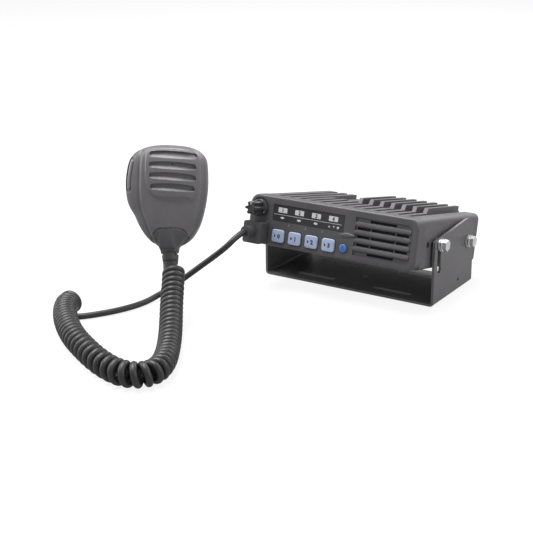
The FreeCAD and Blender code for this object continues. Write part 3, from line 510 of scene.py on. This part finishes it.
def depth_inside(points, loop):
    """Signed distance to a closed loop, positive inside."""
    distance = line_distance(points, np.vstack([loop, loop[:1]]))
    crossings = np.zeros(len(points), int)
    for a, b in zip(loop, np.roll(loop, -1, axis=0)):
        spans = (a[1] > points[:, 1]) != (b[1] > points[:, 1])
        with np.errstate(divide="ignore", invalid="ignore"):
            x = a[0] + (points[:, 1] - a[1]) * (b[0] - a[0]) / (b[1] - a[1])
        crossings += spans & (points[:, 0] < x)
    return np.where(crossings % 2 == 1, distance, -distance)


def step(value, width):
    """0 below -width/2, 1 above width/2, smooth between."""
    t = np.clip(value / width + 0.5, 0, 1)
    return t * t * (3 - 2 * t)


FACE_PLATE = smooth_loop([(-15.0, 31.6), (-16.5, 22.3), (-17.3, 9.6), (-17.5, -3.1), (-16.2, -12.7),
                          (-13.2, -22.3), (-10.6, -30), (-8.2, -38), (-3, -43), (5, -43), (10.5, -38),
                          (16.2, -32.3), (20, -27.0), (24.0, -18.5), (26.7, -8), (28.2, 3), (28.7, 14.5),
                          (28.2, 23), (25.9, 27.7), (21.5, 30.6), (14.8, 32.6), (1.7, 34.2), (-8, 34.0)])
GRILLE_PLATE = smooth_loop([(-11.8, 30.5), (-13.0, 22.1), (-13.1, 12.6), (-11.7, 3.1), (-7.2, -4.7),
                            (-0.8, -7.1), (5.6, -8.1), (14.0, -7.9), (21.4, -5.6), (24.9, -0.6),
                            (26.1, 8.2), (26.3, 18.8), (25.2, 26), (21.5, 29.0), (14.5, 31.0),
                            (1.7, 32.6), (-7, 32.6)])
BOOT_ARCH = smooth_line([(-12.9, -40), (-12.0, -36), (-10.3, -31.8), (-6.9, -27.7), (-3.5, -26.3),
                         (4.7, -26.2), (11.0, -26.8), (14.2, -28.5), (16.0, -31.5), (16.2, -35), (14.9, -40)])
BOOT_BELOW = [(14.9, -60), (-12.9, -60)]
SLOTS = [((-9.6, 29.3), (25.3, 26.0)), ((-9.9, 21.3), (25.0, 17.9)), ((-10.1, 13.3), (24.6, 9.8)),
         ((-9.5, 4.9), (23.4, 2.0))]
PTT_LINE = np.array([(-24.3, 25.1), (-25.7, 19.5), (-26.9, 13), (-27.5, 8.5), (-27.7, 3.4)])
PTT_HALF_WIDTH = 1.55
PTT_SECTION = [(-1, -2.2), (-1, -0.3), (-0.86, 0.12), (-0.5, 0.34), (0, 0.42), (0.5, 0.34), (0.86, 0.12),
               (1, -0.3), (1, -2.2)]
PLATE_LIFT = 1.7
GRILLE_LIFT = 1.25
SLOT_DEPTH = 2.1
ARCH_GROOVE = 0.75
NECK_GROOVE = 0.5
PTT_POCKET = 1.6
SOUND_PORT, SOUND_PORT_RADIUS = (7.4, 20.9), 0.7


def slot_shape(points, left, right):
    """How deep one slot lies below the plate: deep along its top, with a lip that slopes up below."""
    share = np.clip((points[:, 0] - left[0]) / (right[0] - left[0]), 0, 1)
    bulge = 4 * share * (1 - share)
    centre = left[1] + (right[1] - left[1]) * share + 0.5 * bulge
    half = 1.75 + 0.85 * bulge
    beyond = np.maximum(np.maximum(left[0] + 1.7 - points[:, 0], points[:, 0] - right[0] + 1.7), 0)
    away = np.hypot(beyond, points[:, 1] - centre)
    across = (centre + half - points[:, 1]) / (2 * half)
    lip = 0.44 + 0.22 * share
    rise = np.clip((across - lip) / (0.94 - lip), 0, 1)
    return (SLOT_DEPTH - 1.55 * rise) * step(half - away, 0.45)


def face_relief(points):
    """How far the face stands forward of a plain dome, in mm, at points (x, z)."""
    plate = depth_inside(points, FACE_PLATE)
    right = step(points[:, 0] - 8, 14)
    relief = PLATE_LIFT * step(plate + 0.3, 2.6 - 1.4 * right)
    relief -= 0.45 * np.exp(-((plate + 1.5) / 0.8) ** 2) * (1 - right)
    relief -= 1.3 * np.exp(-((plate + 1.2) / 0.75) ** 2) * right * step(30 - points[:, 1], 8)
    panel = depth_inside(points, GRILLE_PLATE)
    slope = 1.5 + 5.5 * step(-points[:, 1] - 1.0, 8) * step(18 - points[:, 0], 8)
    relief += GRILLE_LIFT * step(panel - 0.5 * slope + 0.5, slope)
    for left, end in SLOTS:
        relief -= slot_shape(points, left, end)
    arch = line_distance(points, BOOT_ARCH)
    relief -= ARCH_GROOVE * (1 - step(arch - 0.32, 0.5))
    ring = np.abs(points[:, 1] + 41.6)
    relief -= NECK_GROOVE * (1 - step(ring - 0.35, 0.5)) * (np.abs(points[:, 0] - NECK_X) < 5.4)
    button = line_distance(points, PTT_LINE)
    relief -= PTT_POCKET * step(2.15 - button, 0.5)
    return relief


def front_depth(points, relieved=True):
    """The y of the housing's front surface at points (x, z) inside the outline."""
    away = points - MIDDLE
    reach = reach_of(np.arctan2(away[:, 1], away[:, 0]))
    share = np.clip(np.hypot(away[:, 0], away[:, 1]) / reach, 0, 1)
    up = (1 - share ** FRONT_ROUNDING) ** (1 / FRONT_ROUNDING)
    plain = -FRONT_DEPTH * up
    return plain - face_relief(points) * np.minimum(1, 2.2 * up) if relieved else plain


def mic_half(front):
    """Vertices of one half of the housing: rings from the middle out to the parting line."""
    around = 520
    rim = 0.93
    angles = np.linspace(-math.pi, math.pi, around, endpoint=False)
    reach = reach_of(angles)
    if front:
        rho = np.concatenate([np.linspace(0.006, rim, 150, endpoint=False),
                              np.sin(np.linspace(math.asin(rim), math.pi / 2, 24))])
    else:
        rho = np.sin(np.linspace(0.004, 1, 50) * math.pi / 2) ** (2 / BACK_ROUNDING)
    layers = []
    for r in rho:
        ring = MIDDLE + (r * reach)[:, None] * np.stack([np.cos(angles), np.sin(angles)], axis=1)
        if front:
            depth = front_depth(ring) if r < 1 else np.zeros(around)
        else:
            thin = 1 - 0.42 * step(-ring[:, 1] - 38, 10)
            depth = BACK_DEPTH * max(0, 1 - r ** BACK_ROUNDING) ** (1 / BACK_ROUNDING) * thin
        layers.append(np.stack([ring[:, 0], depth, ring[:, 1]], axis=1))
    return layers


def make_mic_housing():
    """The two covers as one shell, and the rubber boot's upper part, parted along the arch."""
    front = mic_half(True)
    back = mic_half(False)
    lip = [front[-1] * (0.985, 1, 0.985) + (0, 0.25, 0)]
    shell = front + lip + back[::-1]
    vertices = np.vstack(shell)
    faces = np.array(rings(len(shell), len(front[0]), False))
    centres = vertices[faces].mean(axis=1)
    on_boot = depth_inside(centres[:, (0, 2)], np.vstack([BOOT_ARCH, BOOT_BELOW])) > 0
    on_boot &= (centres[:, 1] < 0.3) | (centres[:, 2] < -37)
    for name, look, slot, chosen, replaced in (
            ("mic_housing", "mic", "mic_plastic", ~on_boot, ("mic_front_cover", "mic_back_cover")),
            ("mic_boot_top", "rubber", "boot_rubber", on_boot, ("mic_boot",))):
        used, index = np.unique(faces[chosen], return_inverse=True)
        piece = solid(name, vertices[used], index.reshape(-1, 4), look, "microphone", slot, MIC, sharp=50)
        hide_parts(*replaced)


def make_strain_relief():
    """The tapered tail of the boot, slotted by turns at its sides and at its front and back."""
    around = 72
    slots_at, slot_step, half_slot = -50.6, 4.3, 0.45
    levels = np.linspace(-42.4, TAIL_TIP, 130)
    angles = np.linspace(0, math.tau, around, endpoint=False)
    base = np.interp(levels, [TAIL_TIP, -56.6, -54, -49, -43.4, -42.4], [4.7, 5.3, 5.6, 6.2, 6.5, 5.8])
    vertices = []
    for level, radius in zip(levels, base):
        off = abs(level - slots_at)
        front = 1.3 * (1 - step(off - half_slot, 0.3)) * step(np.abs(np.sin(angles)) - 0.45, 0.2)
        sides = 1.2 * (1 - step(abs(off - slot_step) - half_slot, 0.3))
        sides = sides * step(np.abs(np.cos(angles)) - 0.72, 0.1)
        r = radius - front - sides
        x, y = NECK_X + r * np.cos(angles), r * np.sin(angles)
        vertices.extend(np.stack([x, y, np.full(around, level)], axis=1))
    solid("mic_boot_tail", vertices, rings(len(levels), around), "rubber", "microphone", "boot_rubber", MIC,
          sharp=50)


def make_ptt():
    """The push-to-talk bar, lying along the housing's left flank. Its lighter material is a painted highlight
    for the sheen along it.
    """
    count = 60
    line = evenly(np.column_stack([PTT_LINE, np.zeros(len(PTT_LINE))]), count)[0][:, :2]
    depth = front_depth(line, False)
    side = front_depth(line + (-1, 0), False) - depth
    outward = np.stack([-np.abs(side), -np.ones(len(side))], axis=1)
    outward /= np.linalg.norm(outward, axis=1)[:, None]
    ends = np.minimum(np.linspace(0, 24, count), np.linspace(24, 0, count))
    full = np.sqrt(np.clip(1 - (1 - np.clip(ends / 1.5, 0, 1)) ** 2, 0.02, 1))
    vertices = []
    for (x, z), y, (nx, ny), width in zip(line, depth, outward, full):
        for across, up in PTT_SECTION:
            a = PTT_HALF_WIDTH * width * across
            vertices.append((x + a * -ny + up * nx, y + a * nx + up * ny, z))
    bar = solid("mic_ptt_bar", vertices, rings(count, len(PTT_SECTION)), "ptt", "ptt", "ptt_plastic", MIC,
                sharp=40)
    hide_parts("ptt_button")


def make_sound_port():
    """Painted shade for the microphone's small round sound hole: a near-black disc in the face stands in for
    the shade inside the hole.
    """
    x, z = SOUND_PORT
    depth = float(front_depth(np.array([SOUND_PORT]))[0]) - 0.12
    turn = np.linspace(0, math.tau, 20, endpoint=False)
    near = [(x + SOUND_PORT_RADIUS * math.cos(t), depth, z + SOUND_PORT_RADIUS * math.sin(t)) for t in turn]
    far = [(px, depth + 1, pz) for px, _, pz in near]
    solid("mic_sound_port_shade", near + far, rings(2, 20), "part", "microphone", "mic_plastic", MIC)


make_mic_housing()
make_strain_relief()
make_ptt()
make_sound_port()

# ---------------------------------------------------------------- front panel details


def flat(name, outline, level, thick, look, slot, body="radio"):
    """A thin plate with an outline in (x, z), its front at a level, facing the user."""
    count = len(outline)
    vertices = [(x, level, z) for x, z in outline] + [(x, level + thick, z) for x, z in outline]
    return solid(name, vertices, rings(2, count), look, body, slot, RADIO, sharp=30)


def round_box(x, z, width, height, corner, steps=5):
    """Outline of a rectangle with round corners, about a centre."""
    points = []
    for cx, cz, start in ((1, 1, 0), (-1, 1, 90), (-1, -1, 180), (1, -1, 270)):
        for angle in np.radians(np.linspace(start, start + 90, steps)):
            points.append((x + cx * (width / 2 - corner) + corner * math.cos(angle),
                           z + cz * (height / 2 - corner) + corner * math.sin(angle)))
    return points


def oval(x, z, across, up, steps=28):
    """Outline of an ellipse about a centre."""
    angles = np.linspace(0, math.tau, steps, endpoint=False)
    return [(x + across * math.cos(t), z + up * math.sin(t)) for t in angles]


def digit(name, mark, x, z, height, level, look, slot, body="radio", weight=0.025):
    """One printed digit, centred at (x, z) on a face of the radio."""
    data = bpy.data.curves.new(name, "FONT")
    data.body = mark
    data.size = 1
    data.offset = weight
    data.extrude = 0.02
    mesh = evaluated_mesh(name, data)
    points = np.array([v.co[:] for v in mesh.vertices])
    low, high = points.min(axis=0), points.max(axis=0)
    scale = height / (high[1] - low[1])
    points = (points - (low + high) / 2) * scale
    vertices = np.column_stack([points[:, 0] + x, level - points[:, 2], points[:, 1] + z])
    faces = [tuple(face.vertices) for face in mesh.polygons]
    bpy.data.meshes.remove(mesh)
    return solid(name, vertices, faces, look, body, slot, RADIO, smooth=False)


def dome_cap(name, x, z, width, height, corner, low, high, crown, look, slot, body):
    """A key cap: straight sides, a rounded rim and a slightly crowned face."""
    layers = []
    for inset, level in ((0, low), (0, high + 0.55), (0.12, high + 0.25), (0.4, high + 0.06), (0.8, high)):
        outline = round_box(x, z, width - 2 * inset, height - 2 * inset, max(corner - inset, 0.4), 7)
        layers.append([(px, level, pz) for px, pz in outline])
    rim = layers[-1]
    for share in (0.7, 0.35, 0.02):
        layers.append([(x + (px - x) * share, high - crown * (1 - share ** 2), z + (pz - z) * share)
                       for px, _, pz in rim])
    return solid(name, np.vstack(layers), rings(len(layers), len(rim)), look, body, slot, RADIO, sharp=50)


PANE = 0.36
NUMBERS_AT, NUMBER_STEP = (-44.0, 29.8), 15.45
LAMPS_AT, LAMP_STEP = (-43.9, 23.75), 15.4
TICKS_AT, TICK_STEP = -37.0, 15.5
KEY_AT = [(-45.6 + 15.35 * i, 9.0) for i in range(4)]
KEY_WIDTH, KEY_HEIGHT, KEY_FACE = 11.3, 10.2, -1.2
POWER_AT = (13.6, 8.7)
KNOB_AT = (-64.8, 29.4)


def make_window_print():
    """Numbered plates, a line and the lamp marks, on the display window."""
    x, z = NUMBERS_AT
    for i in range(4):
        at = x + NUMBER_STEP * i
        plate = round_box(at, z, 8.2, 4.0, 0.5)
        flat(f"number_plate_{i + 1}", plate, PANE, 0.06, "print_white", "light_pipe")
        digit(f"number_{i + 1}", str(i + 1), at, z, 3.1, PANE - 0.02, "print_dark", "window_smoke")
    flat("window_line", round_box(-21.0, 26.15, 61.6, 0.42, 0.1, 2), PANE, 0.05, "print_line", "light_pipe")
    x, z = LAMPS_AT
    for i in range(3):
        lamp = oval(x + LAMP_STEP * i, z, 1.8, 0.85)
        flat(f"lamp_oval_{i + 1}", lamp, PANE, 0.06, "print_white", "light_pipe")
    pointing_up = [(-1.9, 22.7), (0.1, 22.7), (-0.9, 24.4)]
    pointing_down = [(2.2, 24.4), (4.2, 24.4), (3.2, 22.7)]
    flat("lamp_mark_up", pointing_up, PANE, 0.05, "print_line", "light_pipe")
    flat("lamp_mark_down", pointing_down, PANE, 0.05, "print_line", "light_pipe")
    square = round_box(6.9, 23.5, 1.7, 1.7, 0.15, 2)
    flat("lamp_mark_square", square, PANE, 0.06, "print_white", "light_pipe")


def make_panel_print():
    """Light grey slanting ticks between the keys and the display window, laid flat on the face."""
    for i in range(4):
        x = TICKS_AT + TICK_STEP * i
        flat(f"panel_tick_{i}", [(x - 0.55, 17.5), (x - 0.25, 17.5), (x + 0.55, 19.4), (x + 0.25, 19.4)],
             -0.03, 0.04, "gray_mark", "light_pipe")


def make_keys():
    """The four function keys with their marks, and round each key a near-black ring of painted shade for the
    gap.
    """
    for i, (x, z) in enumerate(KEY_AT):
        body = f"key_{i}"
        cap = dome_cap(f"key_cap_{i}", x, z, KEY_WIDTH, KEY_HEIGHT, 2.0, 4.0, KEY_FACE, 0.12, "key",
                       "key_rubber", body)
        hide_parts(f"function_key_{i}")
        digit(f"key_digit_{i}", str(i), x + 0.9, z - 0.1, 3.5, KEY_FACE - 0.11, "key_ink", "key_rubber", body,
              0.045)
        mark = [(x - 3.3, z - 1.5), (x - 1.2, z - 0.1), (x - 3.3, z + 1.3)]
        flat(f"key_mark_{i}", mark, KEY_FACE - 0.1, 0.05, "key_ink", "key_rubber", body)
        # Painted shade: a thin near-black ring stands in for the shade in the gap round the key.
        outer = round_box(x, z, KEY_WIDTH + 1.2, KEY_HEIGHT + 1.2, 2.5, 7)
        inner = round_box(x, z, KEY_WIDTH + 0.25, KEY_HEIGHT + 0.25, 2.1, 7)
        frame_ring(f"key_gap_shade_{i}", outer, inner, -0.04, 0.3, "part", "panel_plastic")


def frame_ring(name, outer, inner, level, thick, look, slot):
    """A thin ring between two outlines with the same number of points."""
    count = len(outer)
    loops = [(outer, level + thick), (outer, level), (inner, level), (inner, level + thick)]
    vertices = [(x, y, z) for outline, y in loops for x, z in outline]
    faces = []
    for k in range(4):
        n = (k + 1) % 4
        for i in range(count):
            j = (i + 1) % count
            faces.append((k * count + i, k * count + j, n * count + j, n * count + i))
    return solid(name, vertices, faces, look, "radio", slot, RADIO, sharp=40)


def make_power_key():
    """The round power key in its raised collar, with its printed symbol, and a near-black ring of painted
    shade in the gap round it.
    """
    x, z = POWER_AT
    around = 40
    layers = []
    for radius, level in ((3.3, 3), (3.3, -0.5), (3.15, -0.85), (2.8, -1.0), (1.6, -1.1), (0.05, -1.14)):
        layers.extend((px, level, pz) for px, pz in oval(x, z, radius, radius, around))
    cap = solid("power_cap", layers, rings(6, around), "power", "power_key", "power_blue", RADIO, sharp=50)
    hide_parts("power_key")
    # Painted shade: the second, near-black ring stands in for the shade in the gap between the key and its
    # collar.
    for name, outer, inner, level, thick, look in (("power_surround", 4.5, 3.45, -0.25, 0.5, "panel"),
                                                   ("power_gap_shade", 3.9, 3.36, -0.30, 0.4, "part")):
        frame_ring(name, oval(x, z, outer, outer, 48), oval(x, z, inner, inner, 48), level, thick, look,
                   "panel_plastic")
    steps = 30
    arc = [math.radians(a) for a in np.linspace(130, 410, steps)]
    outer = [(x + 1.5 * math.cos(t), z - 0.1 + 1.5 * math.sin(t)) for t in arc]
    inner = [(x + 1.05 * math.cos(t), z - 0.1 + 1.05 * math.sin(t)) for t in reversed(arc)]
    vertices = [(px, -1.17, pz) for px, pz in outer + inner]
    quads = [(i, i + 1, 2 * steps - 2 - i, 2 * steps - 1 - i) for i in range(steps - 1)]
    solid("power_symbol_ring", vertices, quads, "power_ink", "power_key", "power_blue", RADIO, smooth=False)
    bar = round_box(x, z + 1.1, 0.45, 1.9, 0.1, 2)
    flat("power_symbol_bar", bar, -1.18, 0.05, "power_ink", "power_blue", "power_key")


KNOB_SKIRT = [(-1.1, 6.8), (-2.3, 6.8), (-2.7, 6.5), (-2.85, 5.9)]
KNOB_FINS = [(-2.9, 1.0), (-14.2, 0.97), (-14.9, 0.92), (-15.15, 0.82), (-15.0, 0.55), (-14.8, 0.02)]


def make_knob():
    """Fluted knob: a star with rounded fins on a plain skirt."""
    x, z = KNOB_AT
    around = 144
    fins, squareness = 6, 2.2
    angles = np.linspace(0, math.tau, around, endpoint=False)
    star = 4.55 + 1.15 * np.tanh(squareness * np.cos(fins * angles)) / math.tanh(squareness)
    outlines = [(level, np.full(around, radius)) for level, radius in KNOB_SKIRT]
    outlines += [(level, star * share) for level, share in KNOB_FINS]
    layers = [np.stack([x + r * np.cos(angles), np.full(around, level), z + r * np.sin(angles)], axis=1)
              for level, r in outlines]
    knob = solid("knob_star", np.vstack(layers), rings(len(layers), around), "knob", "volume_knob",
                 "knob_black", RADIO, sharp=42)
    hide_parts("volume_knob")
    flat("knob_dot", oval(x + 5.0, z - 3.2, 0.5, 0.5, 16), -2.95, 0.2, "print_white", "knob_black",
         "volume_knob")
    flat("knob_pointer", round_box(x, z + 3.6, 0.6, 2.6, 0.2, 3), -15.2, 0.25, "gray_mark", "knob_black",
         "volume_knob")


RECESS_LEFT, RECESS_FLOOR = 22, 0.98
FIRST_RIB, RIB_STEP, RIB_LEFT = 9.97, 6.35, 17.6
RIB_SECTION = [(1.95, RECESS_FLOOR), (1.7, 0.45), (0.7, -0.1), (-0.8, -0.32), (-1.5, 0.05),
               (-1.9, RECESS_FLOOR)]


def make_grille_ribs():
    """Bars between the rows of sound slots. They run out to a point to the left of the recess."""
    for i in range(4):
        middle = FIRST_RIB + RIB_STEP * i
        left = RIB_LEFT + 0.3 * i
        ends = [(left, 0.05), (left + 2.5, 0.55), (23.0, 1), (67.5, 1), (69.2, 0.75), (69.8, 0.2)]
        rows = []
        for x, share in ends:
            floor, height = (RECESS_FLOOR, 1) if x > RECESS_LEFT else (0.3, 0.45)
            rows.append([(x, floor - (RECESS_FLOOR - y) * share * height, middle + z * share)
                         for z, y in RIB_SECTION])
        solid(f"grille_rib_{i}", np.vstack(rows), rings(len(rows), len(RIB_SECTION)), "panel", "radio",
              "panel_plastic", RADIO, sharp=35)


def make_grille_leaf():
    """A low pointed swelling that leads into the middle row of slots."""
    outline = [(8.0, 18.4), (10.5, 19.9), (13.5, 20.8), (17.0, 20.9), (20.5, 20.3), (23.6, 19.5),
               (20.5, 18.0), (17.0, 17.2), (13.5, 17.1), (10.5, 17.6)]
    cx, cz = 16, 19
    layers = [[(cx + (x - cx) * share, level, cz + (z - cz) * share) for x, z in outline]
              for share, level in ((1, 0.4), (1, -0.02), (0.88, -0.4), (0.6, -0.62), (0.02, -0.7))]
    solid("grille_leaf", np.vstack(layers), rings(len(layers), len(outline)), "panel", "radio",
          "panel_plastic", RADIO, sharp=50)


def make_panel_ridge():
    """A low upright ridge to the left of the keys, sunk into the panel at both ends."""
    section = [(-57.9, 0.5), (-57.6, -0.5), (-56.9, -0.6), (-56.3, 0.5)]
    layers = [[(x, 0.5 if sunk else y, z) for x, y in section]
              for z, sunk in ((1.2, True), (1.8, False), (18.5, False), (19.2, True))]
    solid("panel_ridge", np.vstack(layers), rings(len(layers), len(section)), "panel", "radio",
          "panel_plastic", RADIO, sharp=60)


make_window_print()
make_panel_print()
make_keys()
make_power_key()
make_knob()
make_grille_ribs()
make_grille_leaf()
make_panel_ridge()

# ---------------------------------------------------------------- stage

FLOOR_REACH = 6.0
FLOOR_DROP = 0.0004
FLOOR_SEEN = 0.86
FLOOR_BOUNCE = 0.30
SKY_LIGHT = 0.36
WHITE = (1, 1, 1, 1)

LIGHTS = {
    "key_above": ((-0.45, -0.15, 1.6), (-0.03, -0.08, 0.03), (1.2, 1.0), 38),
    "side_right": ((1.5, 0.1, 0.7), (0, 0, 0.03), (1.0, 1.2), 8),
    "side_left": ((-1.3, -0.5, 0.6), (-0.05, -0.1, 0.05), (0.5, 1.0), 7),
    "back_rim": ((0.1, 1.5, 0.9), (0, 0, 0.05), (1.6, 0.6), 10),
}


def make_floor():
    """A white floor that looks brighter to the camera than the light it gives."""
    reach = FLOOR_REACH
    corners = [(-reach, -reach, 0), (reach, -reach, 0), (reach, reach, 0), (-reach, reach, 0)]
    mesh = bpy.data.meshes.new("floor")
    mesh.from_pydata(corners, [], [(0, 1, 2, 3)])
    floor = bpy.data.objects.new("floor", mesh)
    floor.location.z = -FLOOR_DROP
    bpy.context.scene.collection.objects.link(floor)
    material, tree, bsdf = shader("floor_white", (0.16, 0.16, 0.16), 1.0, Specular_IOR_Level=0.0)
    path = tree.nodes.new("ShaderNodeLightPath")
    glow = tree.nodes.new("ShaderNodeMapRange")
    glow.inputs["To Min"].default_value = FLOOR_BOUNCE
    glow.inputs["To Max"].default_value = FLOOR_SEEN
    tree.links.new(path.outputs["Is Camera Ray"], glow.inputs["Value"])
    tree.links.new(glow.outputs["Result"], bsdf.inputs["Emission Strength"])
    bsdf.inputs["Emission Color"].default_value = WHITE
    mesh.materials.append(material)


def make_world():
    """A white background for the camera, and a dimmer sky that lights the object."""
    world = bpy.data.worlds.new("studio")
    world.use_nodes = True
    tree = world.node_tree
    sky = tree.nodes["Background"]
    sky.inputs["Color"].default_value = WHITE
    sky.inputs["Strength"].default_value = SKY_LIGHT
    seen = tree.nodes.new("ShaderNodeBackground")
    seen.inputs["Color"].default_value = WHITE
    seen.inputs["Strength"].default_value = 1.0
    path = tree.nodes.new("ShaderNodeLightPath")
    choose = tree.nodes.new("ShaderNodeMixShader")
    tree.links.new(path.outputs["Is Camera Ray"], choose.inputs[0])
    tree.links.new(sky.outputs[0], choose.inputs[1])
    tree.links.new(seen.outputs[0], choose.inputs[2])
    tree.links.new(choose.outputs[0], tree.nodes["World Output"].inputs["Surface"])
    bpy.context.scene.world = world


def area_light(name, place, target, size, power):
    """A rectangular light of so many watts, aimed at a target."""
    data = bpy.data.lights.new(name, "AREA")
    data.shape = "RECTANGLE"
    data.size, data.size_y = size
    data.energy = power
    light = bpy.data.objects.new(name, data)
    away = Vector(place) - Vector(target)
    light.matrix_world = Matrix.Translation(place) @ away.to_track_quat("Z", "Y").to_matrix().to_4x4()
    bpy.context.scene.collection.objects.link(light)


make_floor()
make_world()
for light_name, light_setting in LIGHTS.items():
    area_light(light_name, *light_setting)
bpy.context.scene.view_settings.view_transform = "Standard"
